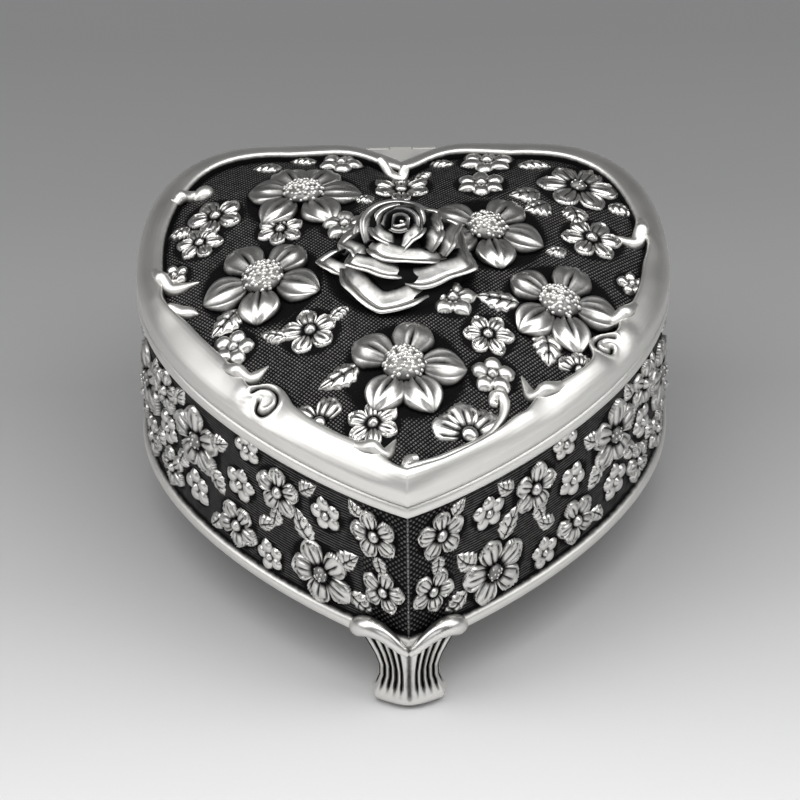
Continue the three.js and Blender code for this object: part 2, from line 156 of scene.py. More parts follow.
# Crest of the lid's frame: (place along the outline, inset).
CREST = np.array([
    (-146.5, 3.2), (-141, 4.4), (-128, 5.0), (-116, 5.2), (-100, 4.9), (-89, 4.2), (-83, 3.9),
    (-75, 3.9), (-70, 3.4), (-66.5, 2.6), (-62, 3.2), (-57.6, 4.2), (-48, 4.5), (-41, 4.3), (-38, 3.7), (-36.2, 2.8),
    (-35.0, 3.4), (-33.8, 5.7), (-32, 6.5), (-30, 6.4), (-28, 5.7), (-26, 4.7), (-21.4, 4.2), (-15, 4.0),
    (-9, 4.3), (-5.4, 4.1), (-3.4, 2.7), (-1.5, 2.4), (0, 2.6), (3, 2.2), (6.8, 1.7), (14.5, 1.7), (20, 2.0),
    (23.4, 2.7), (26.2, 2.3), (29, 3.4), (31, 3.9), (35, 3.3), (41.6, 2.6), (44.6, 2.7), (46.4, 3.6), (47.6, 5.2),
    (49.5, 5.9), (51.2, 5.1), (52.6, 3.3), (54.6, 3.0), (57, 4.1), (64.4, 3.7), (74.8, 4.0), (78.8, 3.2),
    (81.0, 3.0), (84, 4.4), (88.1, 4.3), (95.5, 4.8), (109.2, 5.6), (117.6, 5.6), (130, 5.0),
    (143.3, 4.2), (146.5, 3.2),
])
# Curled ends cut into the frame: (place along the outline, inset).
CURLS = [
    [(-34.6, 3.1), (-33.8, 4.7), (-32.0, 5.6), (-30.1, 5.2), (-29.0, 3.8), (-29.3, 2.3), (-30.4, 1.4),
     (-31.9, 1.5), (-32.5, 2.6)],
    [(51.8, 3.2), (51.0, 4.5), (49.4, 5.1), (47.9, 4.4), (47.6, 3.1), (48.5, 2.2), (49.6, 2.5)],
]


def crest(s):
    """Inset of the frame's crest, smoothed along the outline."""
    s = np.asarray(s, float)
    total = np.zeros_like(s)
    for step, weight in ((-1.2, 1), (-0.6, 2), (0, 3), (0.6, 2), (1.2, 1)):
        total += weight * np.interp(lap(s + step), CREST[:, 0], CREST[:, 1])
    return total / 9


CREST_HEIGHT = 6.1
# Height of the frame over the parting plane by the share of the way to its crest.
FRAME_PROFILE = np.array([(0, 2.75), (0.02, 3.1), (0.07, 3.5), (0.16, 4.05), (0.3, 4.7), (0.46, 5.25),
                          (0.62, 5.66), (0.78, 5.95), (0.92, 6.08), (1.0, CREST_HEIGHT)])
# Rows past the crest: how far, how deep and how dark; the darkness down the inner slope is black oxide and painted
# shade in the crease by the ground.
FRAME_TAIL = np.array([(0.25, 0.06, 0.0), (0.5, 0.24, 0.35), (0.75, 0.62, 0.85), (1.0, 1.2, 1.0),
                       (1.2, 1.9, 1.0), (1.3, 2.4, 1.0)])
TAIL_WIDTH, TAIL_HEIGHT = 1.7, 3.6


def frame_height(inset, s):
    """Height of the lid's frame over the parting plane."""
    rim = crest(s)
    past = np.clip((inset - rim) / TAIL_WIDTH, 0, 1)
    return np.interp(inset / rim, *FRAME_PROFILE.T) - (CREST_HEIGHT - TAIL_HEIGHT) * past**2


def lid_top(x, y):
    """Height of the lid over plan points, whether frame or dome."""
    inset, s, _ = around(x, y)
    return np.maximum(dome(x, y), PARTING + frame_height(np.maximum(inset, 0), s))


# ---- meshes ----
class Casting:
    """Collects patches of one piece: points in heart millimetres, faces, and how dark each point is: black oxide in
    the recesses, and painted shade.
    """

    def __init__(self):
        self.points, self.quads, self.triangles, self.dark, self.count = [], [], [], [], 0

    def add(self, points, quads=None, triangles=None, dark=0.0):
        points = np.asarray(points, float).reshape(-1, 3)
        self.points.append(points)
        if quads is not None and len(quads):
            self.quads.append(np.asarray(quads) + self.count)
        if triangles is not None and len(triangles):
            self.triangles.append(np.asarray(triangles) + self.count)
        self.dark.append(np.broadcast_to(np.asarray(dark, float).reshape(-1), (len(points),)))
        self.count += len(points)

    def build(self, name, material, body, slot="antique_silver", smooth=True, sharp=None):
        points = np.vstack(self.points).copy()
        points[:, 1] += SHIFT
        points *= MM
        quads = np.vstack(self.quads) if self.quads else np.zeros((0, 4), int)
        triangles = np.vstack(self.triangles) if self.triangles else np.zeros((0, 3), int)
        mesh = bpy.data.meshes.new(name)
        mesh.vertices.add(len(points))
        mesh.vertices.foreach_set("co", points.ravel())
        loops = np.concatenate([quads.ravel(), triangles.ravel()]).astype(np.int32)
        sizes = np.concatenate([np.full(len(quads), 4), np.full(len(triangles), 3)]).astype(np.int32)
        starts = np.concatenate([[0], np.cumsum(sizes)[:-1]]).astype(np.int32)
        mesh.loops.add(len(loops))
        mesh.loops.foreach_set("vertex_index", loops)
        mesh.polygons.add(len(sizes))
        mesh.polygons.foreach_set("loop_start", starts)
        mesh.update(calc_edges=True)
        mesh.validate()
        # each point's darkness: black oxide in the recesses and painted shade, such as painted shadow on the grounds
        # and the rose's dark core
        attribute = mesh.color_attributes.new("patina_and_painted_shade", "FLOAT_COLOR", "POINT")
        shade = np.clip(np.concatenate(self.dark), 0, 1)
        attribute.data.foreach_set("color", np.repeat(shade, 4).astype(np.float32))
        mesh.polygons.foreach_set("use_smooth", np.full(len(mesh.polygons), smooth))
        if sharp is not None:
            mesh.set_sharp_from_angle(angle=math.radians(sharp))
        mesh.materials.append(material)
        piece = bpy.data.objects.new(name, mesh)
        bpy.context.scene.collection.objects.link(piece)
        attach(piece, body)
        return piece


def lattice(u, v):
    """Two arrays with u down their rows and v along their columns."""
    return np.meshgrid(u, v, indexing="ij")


def grid(rows, columns, wrap=False):
    """Quads of a grid of points, row by row; wrap joins the last column to the first."""
    r, c = lattice(np.arange(rows - 1), np.arange(columns - (0 if wrap else 1)))
    here, beside_it = r * columns + c, r * columns + (c + 1) % columns
    return np.stack([here, beside_it, beside_it + columns, here + columns], -1).reshape(-1, 4)


def circle(sides):
    """Angles of a ring's points."""
    return np.linspace(0, 2 * pi, sides, endpoint=False)


def cos_sin(turn):
    return math.cos(math.radians(turn)), math.sin(math.radians(turn))


def smoothstep(low, high, x):
    t = np.clip((x - low) / (high - low), 0, 1)
    return t * t * (3 - 2 * t)


def bump(x, width):
    return np.exp(-((x / width) ** 2))


def shaded(shadow, far, radius, spread):
    """A ground's shadow, with that of an ornament of a radius added."""
    return np.maximum(shadow, 1 - smoothstep(0.86 * radius, radius + spread, far))


# ---- placing flat ornament on the dome and on the wall ----
def on_lid(x, y, turn=0.0):
    """Lid ornament: h is measured from the dome."""
    c, s = cos_sin(turn)

    def place(a, b, h):
        px, py = x + a * c - b * s, y + a * s + b * c
        return np.stack([px, py, dome(px, py) + h], -1)

    return place


def on_wall(s0, z0, turn=0.0):
    """Wall ornament: turn is measured from the direction of growing s. z0 is over the parting plane."""
    c, s = cos_sin(turn)

    def place(a, b, h):
        px, py = wall(s0 + a * c - b * s, PANEL - h)
        return np.stack([px, py, PARTING + z0 + a * s + b * c], -1)

    return place


# ---- ornament ----
def spaced(count):
    """Places from -1 to 1, closer together at both ends."""
    return np.sin(np.linspace(-1, 1, count) * pi / 2)


def petal(piece, place, angle, root, length, half, height, kind, lift=0.0, count=15):
    """One petal from its root outwards, as a grid of count by count points."""
    u, v = lattice(0.5 + 0.5 * spaced(count), spaced(count))
    across = np.abs(v)
    root_shade = 1 - smoothstep(0.08, 0.34, u)
    if kind == "pointed":
        shape = (u + 0.05) ** 0.66 * np.maximum(1 - u**2.1, 0)
        width = half * shape / 0.505
        envelope = 0.3 + 0.7 * np.sin(pi * np.clip(0.1 + 0.8 * u, 0, 1)) ** 0.8
        envelope = envelope * np.maximum(1 - u**8, 0) ** 0.5
        arch = np.maximum(1 - across**3, 0) ** 0.55 * (0.86 + 0.14 * np.cos(2 * pi * v))
        crease = 0.6 * bump(v, 0.1) * np.clip(1.15 - u, 0, 1)
        crease = crease + 0.2 * bump(across - 0.5, 0.09) * np.clip(1 - 1.6 * u, 0, 1)
        h = envelope * arch - crease * envelope + 0.14 * bump(across - 0.88, 0.07) * envelope
        groove = smoothstep(0.12, 0.42, crease)
        dull = 0.36 * (1 - smoothstep(0.25, 0.7, u)) + 0.22 * (1 - smoothstep(0.45, 0.85, h))
        root_shade = np.maximum(1 - smoothstep(0.02, 0.2, u), dull)
    elif kind == "rimmed":
        shape = (u + 0.06) ** 0.55 * np.maximum(1 - u**4, 0) ** 0.5
        width = half * shape / 0.8
        e = np.sqrt(v**2 + (np.maximum(u - 0.5, 0) / 0.5) ** 2)
        body = np.maximum(1 - np.minimum(e, 1) ** 5, 0) ** 0.5
        cup = 0.56 + 0.3 * np.sin(pi * np.clip(u * 1.05, 0, 1)) * np.maximum(1 - v**2, 0)
        rim = 0.5 * bump(e - 0.87, 0.07) * smoothstep(0.15, 0.5, u)
        # the moat inside the rim opens by a different amount on each petal
        moat = 0.42 * bump(e - 0.67, 0.06) * smoothstep(0.25, 0.5, u)
        moat = moat * smoothstep(0.02, 0.3, across + 0.35 * np.cos(9 * angle))
        pleat = 0.4 * np.maximum(np.cos(v * pi * 3.0), 0) ** 3 * np.clip(1.45 - 1.6 * u, 0, 1)
        h = body * (cup + rim - moat - pleat)
        groove = np.maximum(smoothstep(0.04, 0.2, pleat), 1.1 * smoothstep(0.12, 0.34, moat))
    else:
        shape = (u + 0.12) ** 0.6 * np.maximum(1 - u**3, 0) ** 0.5
        width = half * shape / 0.74
        e = np.sqrt(v**2 * 0.9 + (np.maximum(u - 0.4, 0) / 0.62) ** 2)
        pleat = 0.3 * bump(v, 0.12) * np.clip(1.1 - 1.5 * u, 0, 1)
        full = 0.45 + 0.62 * np.sin(pi * np.clip(u, 0, 1) * 0.8)
        h = np.maximum(1 - np.minimum(e, 1) ** 2.6, 0) ** 0.55 * full - pleat
        groove = smoothstep(0.08, 0.24, pleat)
    far = root + (length - root) * u
    side = width * v
    c, s = cos_sin(angle)
    level = height * h + lift * (1 - 0.4 * u) - 0.35
    shade = np.maximum(np.maximum(1 - smoothstep(0.08, 0.5, h), 0.9 * groove), root_shade)
    piece.add(place(far * c - side * s, far * s + side * c, level), grid(count, count), dark=shade)


GOLDEN_ANGLE = 2.399963


def button(piece, place, radius, height, grains, lift=0.0):
    """A flower's middle: a dome with grains standing on it."""
    t, turn = lattice(np.linspace(0, 1, 7), circle(20))
    r = radius * np.sin(t * pi / 2)
    h = height * np.cos(t * pi / 2) ** 0.8 + lift - 0.3 * t
    shade = 0.5 + 0.5 * smoothstep(0.75, 1, t) if grains else 0.1 + 0.9 * smoothstep(0.6, 1, t)
    piece.add(place(r * np.cos(turn), r * np.sin(turn), h), grid(7, 20, True), dark=shade)
    u, w = lattice(np.linspace(0, 1, 4), circle(7))
    for k in range(grains):
        share = math.sqrt((k + 0.5) / grains)
        size = radius * (0.115 if grains > 26 else 0.18) * random.uniform(0.75, 1.3)
        angle = k * GOLDEN_ANGLE + random.uniform(-0.35, 0.35)
        r0 = radius * 0.96 * min(1, share + random.uniform(-0.04, 0.04))
        base = height * max(1 - share**2, 0) ** 0.45 + lift - 0.3 * share
        r, h = size * np.sin(u * pi / 2), size * 1.05 * np.cos(u * pi / 2)
        piece.add(place(r0 * math.cos(angle) + r * np.cos(w), r0 * math.sin(angle) + r * np.sin(w), base + h),
                  grid(4, 7, True), dark=0.5 * u**3)


# Half width of a petal and radius of the button, by the flower's radius.
FLOWER_SHARES = {"pointed": (0.345, 0.35), "rimmed": (0.415, 0.2), "puffy": (0.4, 0.2)}


def flower(piece, place, radius, kind, angles, height, core=None, grains=0, lift=0.0):
    """Petals in the directions of angles, about a button."""
    half, usual_core = FLOWER_SHARES[kind]
    core = core or usual_core
    pointed = kind == "pointed"
    if not pointed and len(angles) == 6:
        half *= 0.86
    fine = 19 if radius > 7 or kind == "rimmed" else 15 if radius > 4 else 12
    root = (0.3 if kind == "puffy" else 0.72) * core * radius
    for k, angle in enumerate(angles):
        length = radius * random.uniform(0.95, 1.04)
        tall = height * random.uniform(0.94, 1.06)
        petal(piece, place, angle, root, length, half * radius, tall, kind, lift + 0.12 * (k % 2), fine)
    plump = 0.52 if pointed else 0.75 if radius > 6 else 1.0
    button(piece, place, core * radius, plump * core * radius, grains, lift + (0.35 if pointed else 0.3) * height)


def even(count, start):
    return [start + 360 * k / count for k in range(count)]


def leaf(piece, maker, root, tip, half, height):
    """A veined leaf from one point to another of the surface that maker places on."""
    rows, columns, veins = 29, 17, 4
    dx, dy = tip[0] - root[0], tip[1] - root[1]
    length = math.hypot(dx, dy)
    place = maker(*root, math.degrees(math.atan2(dy, dx)))
    u, v = lattice(np.linspace(0, 1, rows), spaced(columns))
    across = np.abs(v)
    outline = np.sin(pi * np.clip(u, 0, 1) ** 0.8) ** 0.75
    outline = outline * (1 + 0.09 * np.sin(2 * pi * (veins + 1) * u))
    width = 1.15 * half * outline * (1 - 0.2 * u)
    arch = np.maximum(1 - across**2.6, 0) ** 0.6
    envelope = np.sin(pi * np.clip(0.06 + 0.9 * u, 0, 1)) ** 0.6
    rib = 0.32 * bump(v, 0.09)
    phase = (u * veins - across * 0.9) % 1 - 0.5
    vein = 0.28 * bump(phase, 0.14) * smoothstep(0.1, 0.2, across) * (1 - smoothstep(0.6, 0.85, across))
    bend = 0.06 * length * np.sin(pi * u)
    level = height * (envelope * (arch - rib - vein)) - 0.25
    shade = np.maximum(1 - smoothstep(0.04, 0.3, envelope * arch), 0.9 * smoothstep(0.1, 0.3, rib + vein))
    piece.add(place(length * u, width * v + bend, level), grid(rows, columns), dark=shade)


def spline(points, count):
    """A smooth line through points, as many columns as they have."""
    p = np.asarray(points, float)
    p = np.vstack([2 * p[0] - p[1], p, 2 * p[-1] - p[-2]])
    out = []
    for t in np.linspace(0, len(p) - 3 - 1e-9, count):
        k, f = int(t), t - int(t)
        a, b, c, d = p[k:k + 4]
        square, cube = 2 * a - 5 * b + 4 * c - d, 3 * b - a - 3 * c + d
        out.append(0.5 * (2 * b + (c - a) * f + square * f * f + cube * f**3))
    return np.array(out)


def tube(line, r, sides):
    """Rings of radius r about a plan line: their plan, and the sine of each point's place in its ring."""
    tangent = np.gradient(line[:, :2], axis=0)
    tangent /= np.linalg.norm(tangent, axis=1)[:, None]
    turn = circle(sides)[None, :]
    x = line[:, 0:1] - tangent[:, 1:2] * r * np.cos(turn)
    y = line[:, 1:2] + tangent[:, 0:1] * r * np.cos(turn)
    return x, y, np.sin(turn)


def horn(piece, path, count=26, sides=12, flat=1.0, level=None, lift=0.0, bury=0.0):
    """A rounded bar along a plan path of (x, y, radius); it lies on the lid or at a given level.
    bury is how far its start is sunk."""
    line = spline(path, count)
    r = np.maximum(line[:, 2:3], 0.03)
    x, y, sine = tube(line, r, sides)
    if level is None:
        base = np.convolve(np.pad(lid_top(line[:, 0], line[:, 1]), 4, "edge"), np.ones(9) / 9, "valid")
    else:
        base = np.full(count, level)
    base = base + lift - bury * (1 - smoothstep(0, 0.4, np.linspace(0, 1, count)))
    z = base[:, None] + flat * r * sine
    if level is None:
        z = np.maximum(z, lid_top(x, y) - 0.9)
    points = np.stack([x, y, z], -1)
    # painted shade: the lower half of the bar is darkened
    shade = 0.8 * (1 - smoothstep(-0.35, 0.45, sine)) * np.ones((count, 1))
    piece.add(points, grid(count, sides, True), dark=shade)
    fan = np.array([(k, (k + 1) % sides, sides) for k in range(sides)])
    for ring, triangles in ((points[0], fan), (points[-1], fan[:, ::-1])):
        piece.add(np.vstack([ring, ring.mean(0)]), triangles=triangles, dark=0.1)


def turned(piece, profile, dark=None):
    """A profile carried round the heart, in rows of (inset, height) or (inset, height, share), with a number or
    one value per place for each; share draws the row in towards the middle."""
    rows = []
    for inset, z, *share in profile:
        x, y = wall(PLACES, inset)
        share = share[0] if share else 1
        rows.append(np.stack([x * share, y * share, np.broadcast_to(z, PLACES.shape)], -1))
    shade = 0.0 if dark is None else np.repeat(dark, len(PLACES))
    piece.add(np.vstack(rows), grid(len(rows), len(PLACES), True), dark=shade)


# ---- materials ----
class Look:
    """A node material in the making."""

    def __init__(self, name):
        self.material = bpy.data.materials.new(name)
        self.material.use_nodes = True
        self.nodes, self.links = self.material.node_tree.nodes, self.material.node_tree.links
        self.shader = self.nodes["Principled BSDF"]

    def feed(self, node, inputs):
        """Sets or links a node's inputs, given by name or number."""
        for key, value in inputs.items():
            if isinstance(value, bpy.types.NodeSocket):
                self.links.new(value, node.inputs[key])
            else:
                node.inputs[key].default_value = value

    def node(self, kind, inputs, output, **settings):
        """Adds a node and returns one of its outputs."""
        node = self.nodes.new("ShaderNode" + kind)
        for key, value in settings.items():
            setattr(node, key, value)
        self.feed(node, inputs)
        return node.outputs[output]

    def noise(self, scale, detail, rough=0.6):
        """Noise in the piece's own coordinates, with scale features to the metre."""
        where = self.node("TexCoord", {}, "Object")
        inputs = {"Vector": where, "Scale": scale, "Detail": detail, "Roughness": rough}
        return self.node("TexNoise", inputs, "Fac")

    def ramp(self, source, stops):
        """Colours or greys by the value of source."""
        output = self.node("ValToRGB", {"Fac": source}, "Color")
        elements = output.node.color_ramp.elements
        while len(elements) < len(stops):
            elements.new(0.5)
        for element, (place, value) in zip(elements, stops):
            element.position = place
            element.color = (*value, 1) if hasattr(value, "__len__") else (value, value, value, 1)
        return output

    def finish(self, colour, roughness, relief, strength, depth, **others):
        """Feeds the shader and returns the material; the bump's depth is in metres."""
        normal = self.node("Bump", {"Strength": strength, "Distance": depth, "Height": relief}, "Normal")
        self.feed(self.shader, {"Base Color": colour, "Roughness": roughness, "Normal": normal})
        self.feed(self.shader, {key.replace("_", " "): value for key, value in others.items()})
        return self.material


# near-black for the black oxide in recesses and for painted shade
PATINA_AND_SHADE_BLACK = (0.012, 0.0115, 0.012, 1)


def silver(name, bright=(0.86, 0.85, 0.825), rough=(0.25, 0.36), patina_and_painted_shade=True, grain=1.0, cloud=0.88):
    """Antique silver: bright rubbed metal, blackened by each point's darkness: black oxide where the casting is
    recessed, and painted shade.
    """
    look = Look(name)
    mist = look.noise(160, 5)
    colour = look.ramp(mist, [(0.3, tuple(cloud * c for c in bright)), (0.62, bright)])
    roughness = look.ramp(mist, [(0.3, rough[1]), (0.7, rough[0])])
    if patina_and_painted_shade:
        # the points' darkness, black oxide and painted shade, mixes the colour towards near-black
        patina_and_shade_marks = look.node("VertexColor", {}, "Color", layer_name="patina_and_painted_shade")
        mottled = look.node("Math", {0: look.noise(900, 4), 1: 0.35, 2: patina_and_shade_marks}, 0, operation="MULTIPLY_ADD")
        depth = look.ramp(mottled, [(0.3, 0.0), (0.68, 0.66), (1.0, 1.0)])
        colour = look.node("Mix", {0: depth, 6: colour, 7: PATINA_AND_SHADE_BLACK}, 2, data_type="RGBA")
        wide = look.ramp(depth, [(0.0, 0.0), (1.0, 0.34)])
        roughness = look.node("Math", {0: roughness, 1: wide}, 0, operation="ADD")
    return look.finish(colour, roughness, look.noise(2200, 3), 0.16 * grain, 0.00008, Metallic=1.0)


def velvet(name):
    """Black velvet: blotches in the nap, a short pile and a pale sheen."""
    look = Look(name)
    tone = look.ramp(look.noise(90, 5, 0.65), [(0.32, (0.012, 0.010, 0.013)), (0.7, (0.05, 0.043, 0.052))])
    return look.finish(tone, 0.92, look.noise(3800, 2), 0.6, 0.0003,
                       Sheen_Weight=0.7, Sheen_Roughness=0.35, Sheen_Tint=(0.75, 0.72, 0.78, 1))


def cardboard(name):
    """Grey card with short fibres."""
    look = Look(name)
    fibre = look.noise(700, 6, 0.7)
    tone = look.ramp(fibre, [(0.3, (0.36, 0.3, 0.235)), (0.7, (0.52, 0.455, 0.375))])
    return look.finish(tone, 0.88, fibre, 0.35, 0.0002)


PALE = (0.9, 0.89, 0.86)
chased = silver("chased_silver")
ground_silver = silver("ground_silver", bright=(0.54, 0.53, 0.52), rough=(0.3, 0.42))
frame_silver = silver("frame_silver", bright=PALE, rough=(0.4, 0.46), grain=0.2, cloud=0.98)
base_silver = silver("base_silver", bright=(0.55, 0.54, 0.52), rough=(0.32, 0.48), patina_and_painted_shade=False)
satin_silver = silver("satin_silver", bright=PALE, rough=(0.5, 0.62), patina_and_painted_shade=False)
plain_steel = silver("plain_steel", bright=(0.56, 0.57, 0.58), rough=(0.24, 0.36), patina_and_painted_shade=False)
black_velvet = velvet("black_velvet")
grey_card = cardboard("grey_card")


# ---- lid: frame, ground and flowers ----
def lid_frame():
    """The lid's casting: its rim, the frame with its curls, and the plain inside."""
    piece = Casting()
    rim = [(1.7, 0.15), (0.25, 0.15), (0.0, 0.38), (0.0, 1.2), (0.0, 2.75)]
    # the rim's underside is darkened: painted shade between lid and wall
    turned(piece, [(inset, PARTING + z) for inset, z in rim], dark=[0.2, 0.35, 0.05, 0.0, 0.0])
    count = 1500
    s = np.linspace(-HALF, HALF, count, endpoint=False)
    c = crest(s)
    share = np.linspace(0, 1, 34) ** 1.15
    past, drop, tone = FRAME_TAIL.T[:, :, None]
    inset = np.vstack([share[:, None] * c, c + past])
    height = np.vstack([np.interp(share, *FRAME_PROFILE.T)[:, None] + 0 * c, CREST_HEIGHT - drop + 0 * c])
    shade = np.vstack([np.zeros((len(share), count)), tone + 0 * c])
    along = s + 0 * inset
    for path in CURLS:
        line = spline(path, 90)
        near = np.min(np.hypot(along[..., None] - line[:, 0], inset[..., None] - line[:, 1]), axis=-1)
        height = height - 0.75 * bump(near, 0.3) + 0.16 * bump(near - 0.75, 0.3)
        shade = np.maximum(shade, bump(near, 0.34))
    x, y = wall(along, inset)
    piece.add(np.stack([x, y, PARTING + height], -1), grid(len(height), count, True), dark=shade)
    shares = (0.001, 0.2, 0.4, 0.6, 0.8, 0.92, 1.0)
    inner = [(DOME_EDGE, dome_height(share) - LID_THICKNESS, share) for share in shares]
    inner += [(inset, PARTING + DOME_BASE - drop) for inset, drop in ((3.2, 1.9), (2.2, 2.1), (1.75, 2.5))]
    inner += [(1.7, PARTING + 0.15)]
    turned(piece, inner, dark=[0.25] * len(inner))
    return piece


def lid_ground():
    """Cross-hatched ground of the dome: rows of small pyramids."""
    piece = Casting()
    step, reach = 0.265, 66
    n = int(reach / step)
    n += n % 2
    i, j = lattice(np.arange(-n, n + 1), np.arange(-n, n + 1))
    across, along = i * step, j * step * 1.12
    x, y = (across - along) * math.sqrt(0.5), (across + along) * math.sqrt(0.5)
    inset, s, _ = around(x, y)
    rim = crest(s)
    keep = inset > rim + 0.35
    peak = ((i % 2 == 1) & (j % 2 == 1)).astype(float)
    z = dome(x, y) + 0.14 * peak - 0.04
    shadow = 1 - smoothstep(0.4, 2.6, inset - rim)
    for cx, cy, radius in [flower[:3] for flower in BIG + SMALL] + [(ROSE_X, ROSE_Y, 13.0)]:
        shadow = shaded(shadow, np.hypot(x - cx, y - cy), radius, 1.3)
    r, q = np.nonzero(keep[:-1, :-1] & keep[1:, :-1] & keep[:-1, 1:] & keep[1:, 1:])
    square = [(r, q), (r + 1, q), (r + 1, q + 1), (r, q + 1)]
    used = np.zeros(x.shape, bool)
    for corner in square:
        used[corner] = True
    index = np.cumsum(used).reshape(x.shape) - 1
    a, b, c, d = (index[corner] for corner in square)
    # each square is split along the diagonal that meets its peak
    odd = np.argmax([peak[corner] for corner in square], 0) % 2 == 1
    halves = (((a, b, c), False), ((a, c, d), False), ((a, b, d), True), ((b, c, d), True))
    triangles = np.vstack([np.stack(three, -1)[odd == split] for three, split in halves])
    shade = np.maximum(1 - 0.66 * peak, 0.96 * shadow)
    piece.add(np.stack([x, y, z], -1)[used], triangles=triangles, dark=shade[used])
    return piece


# x, y, radius, directions of the petals
BIG = [
    (-0.2, -26.2, 10.4, [76, 3, -62, -121, 143]),
    (-23.5, -2.8, 10.4, [119, 46, -23, -95, -164]),
    (-16.7, 19.8, 10.2, [0, 60, 113, 167, -134, -62]),
    (14.2, 8.0, 10.2, [59, -17, -78, 151, 215]),
    (25.9, -8.9, 10.0, [70, -6, -74, -134, 146]),
]
# x, y, radius, kind, petals, first petal
SMALL = [
    (-5.4, -36.7, 4.6, "rimmed", 6, 90), (13.8, -17.3, 4.5, "rimmed", 6, 60), (14.4, -25.7, 4.0, "puffy", 5, 90),
    (-28.4, -16.2, 3.9, "puffy", 5, 70), (-15.6, -15.6, 5.0, "rimmed", 5, 100), (-20.6, 10.5, 4.3, "rimmed", 6, 80),
    (-34.3, 10.8, 4.2, "rimmed", 6, 50), (-31.7, 17.5, 5.0, "rimmed", 5, 110), (-38.6, 3.6, 2.9, "puffy", 5, 30),
    (-0.1, 23.4, 5.3, "rimmed", 6, 90), (13.5, 23.6, 4.5, "puffy", 6, 90), (31.9, 9.8, 5.4, "rimmed", 6, 65),
    (38.4, -0.1, 2.9, "puffy", 5, 100), (30.1, 24.8, 7.2, "rimmed", 6, 60), (8.1, -9.6, 4.4, "puffy", 5, 90),
    (14.7, 33.1, 5.0, "puffy", 6, 20), (-10.3, 33.4, 4.2, "puffy", 5, 60), (-9.7, 10.2, 4.2, "puffy", 5, 90),
]
# root, tip, half width
LEAVES = [
    ((-27.6, -7.9), (-32.0, -12.8), 2.3), ((-7.5, -24.3), (-14.3, -28.0), 2.2), ((19.1, -9.3), (11.9, -8.4), 2.2),
    ((22.9, -14.6), (23.6, -22.0), 2.4), ((-19.1, -16.2), (-23.8, -14.4), 1.4), ((-12.3, -13.6), (-8.7, -11.4), 1.3),
    ((27.4, 5.3), (23.8, 4.1), 1.4), ((23.5, 21.2), (18.2, 19.8), 2.3), ((35.0, 20.4), (39.5, 19.0), 1.7),
    ((28.5, 18.2), (29.7, 12.9), 2.1), ((-4.7, 18.9), (-8.3, 17.8), 1.3), ((2.5, 27.0), (5.2, 29.2), 1.4),
    ((-36.0, 15.9), (-39.7, 14.2), 1.5), ((24.9, 18.1), (20.6, 15.2), 2.3), ((-20.5, 32.0), (-25.4, 31.6), 1.6),
    ((-14.5, 34.4), (-19.0, 34.6), 1.3), ((9.0, 32.4), (4.4, 34.0), 1.4), ((20.0, 31.2), (25.6, 31.2), 1.5),
]

# Flowers cut off by the frame: x, y, directions of the petals, radius.
CUT_FLOWERS = [
    (10.4, -38.4, (165, 105, 45), 6.6), (28.8, -22.2, (150, 90, 40), 4.0), (-14.3, -35.2, (140, 60), 5.6),
]


def lid_flowers():
    """The large flowers, and the small ones with the leaves."""
    large, small = Casting(), Casting()
    for x, y, radius, angles in BIG:
        flower(large, on_lid(x, y), radius, "pointed", angles, 2.5, grains=90, lift=0.45)
    for x, y, radius, kind, count, start in SMALL:
        height, core = (1.25, 0.2) if kind == "rimmed" else (1.35, 0.24)
        flower(small, on_lid(x, y), radius, kind, even(count, start), height, core, grains=9 if radius > 7 else 0)
    for root, tip, half in LEAVES:
        leaf(small, on_lid, root, tip, half, 1.25)
    for x, y, angles, radius in CUT_FLOWERS:
        place = on_lid(x, y)
        for angle in angles:
            petal(small, place, angle, 0.8, radius, 0.46 * radius, 1.3, "rimmed", 0.1)
        button(small, place, 0.22 * radius, 1.2, 0, 0.4)
    return large, small


# Scrolls as rows of (place along the outline, inset, radius). Thorns run along the frame, then turn inwards.
THORNS = [
    [(-74.0, 3.3, 0.9), (-71.4, 4.1, 1.35), (-69.4, 6.0, 1.25), (-70.5, 10.0, 0.16)],
    [(-43.4, 3.9, 0.9), (-40.4, 4.4, 1.4), (-37.8, 5.8, 1.25), (-37.5, 9.2, 0.16)],
    [(-10.6, 3.8, 0.9), (-7.4, 4.4, 1.4), (-4.4, 5.4, 1.25), (-2.4, 8.8, 0.16)],
    [(35.6, 3.2, 0.9), (32.4, 3.8, 1.4), (29.8, 5.3, 1.25), (31.1, 9.4, 0.16)],
    [(62.0, 3.7, 0.9), (58.8, 4.4, 1.4), (56.8, 6.4, 1.25), (58.0, 10.6, 0.16)],
    [(87.2, 4.1, 0.9), (84.0, 4.4, 1.35), (81.8, 5.9, 1.25), (84.8, 9.8, 0.16)],
    [(-94.8, 4.4, 0.9), (-97.4, 5.4, 1.25), (-99.4, 7.0, 1.0), (-101.6, 9.6, 0.16)],
]
HOOKS = [
    [(7.0, 2.8, 0.4), (4.0, 3.3, 0.6), (1.6, 3.6, 0.9), (0.2, 4.4, 1.15), (0.6, 5.6, 1.0), (2.2, 5.4, 0.8)],
    [(-141.4, 4.6, 0.8), (-143.6, 5.2, 0.9), (-146.2, 5.0, 1.0), (145.6, 4.2, 0.9)],
]
VINE = [
    (2.4, 3.4, 0.5), (5.0, 3.1, 0.55), (8.6, 3.0, 0.6), (13.6, 3.1, 0.6), (18.0, 3.7, 0.65), (21.4, 4.9, 0.75),
    (23.4, 6.4, 0.9), (23.9, 8.0, 1.0), (22.6, 8.9, 0.95), (21.4, 7.9, 0.8), (22.1, 7.2, 0.6),
]
# Buds by the frame: x, y, direction, length; and their radius by the share of the length.
BUDS = [(-36.8, -6.0, 160, 5.4), (-33.8, 25.2, 40, 4.0)]
BUD_SHAPE = [(0, 0.2), (0.2, 1.1), (0.5, 1.5), (0.8, 1.2), (1, 0.2)]


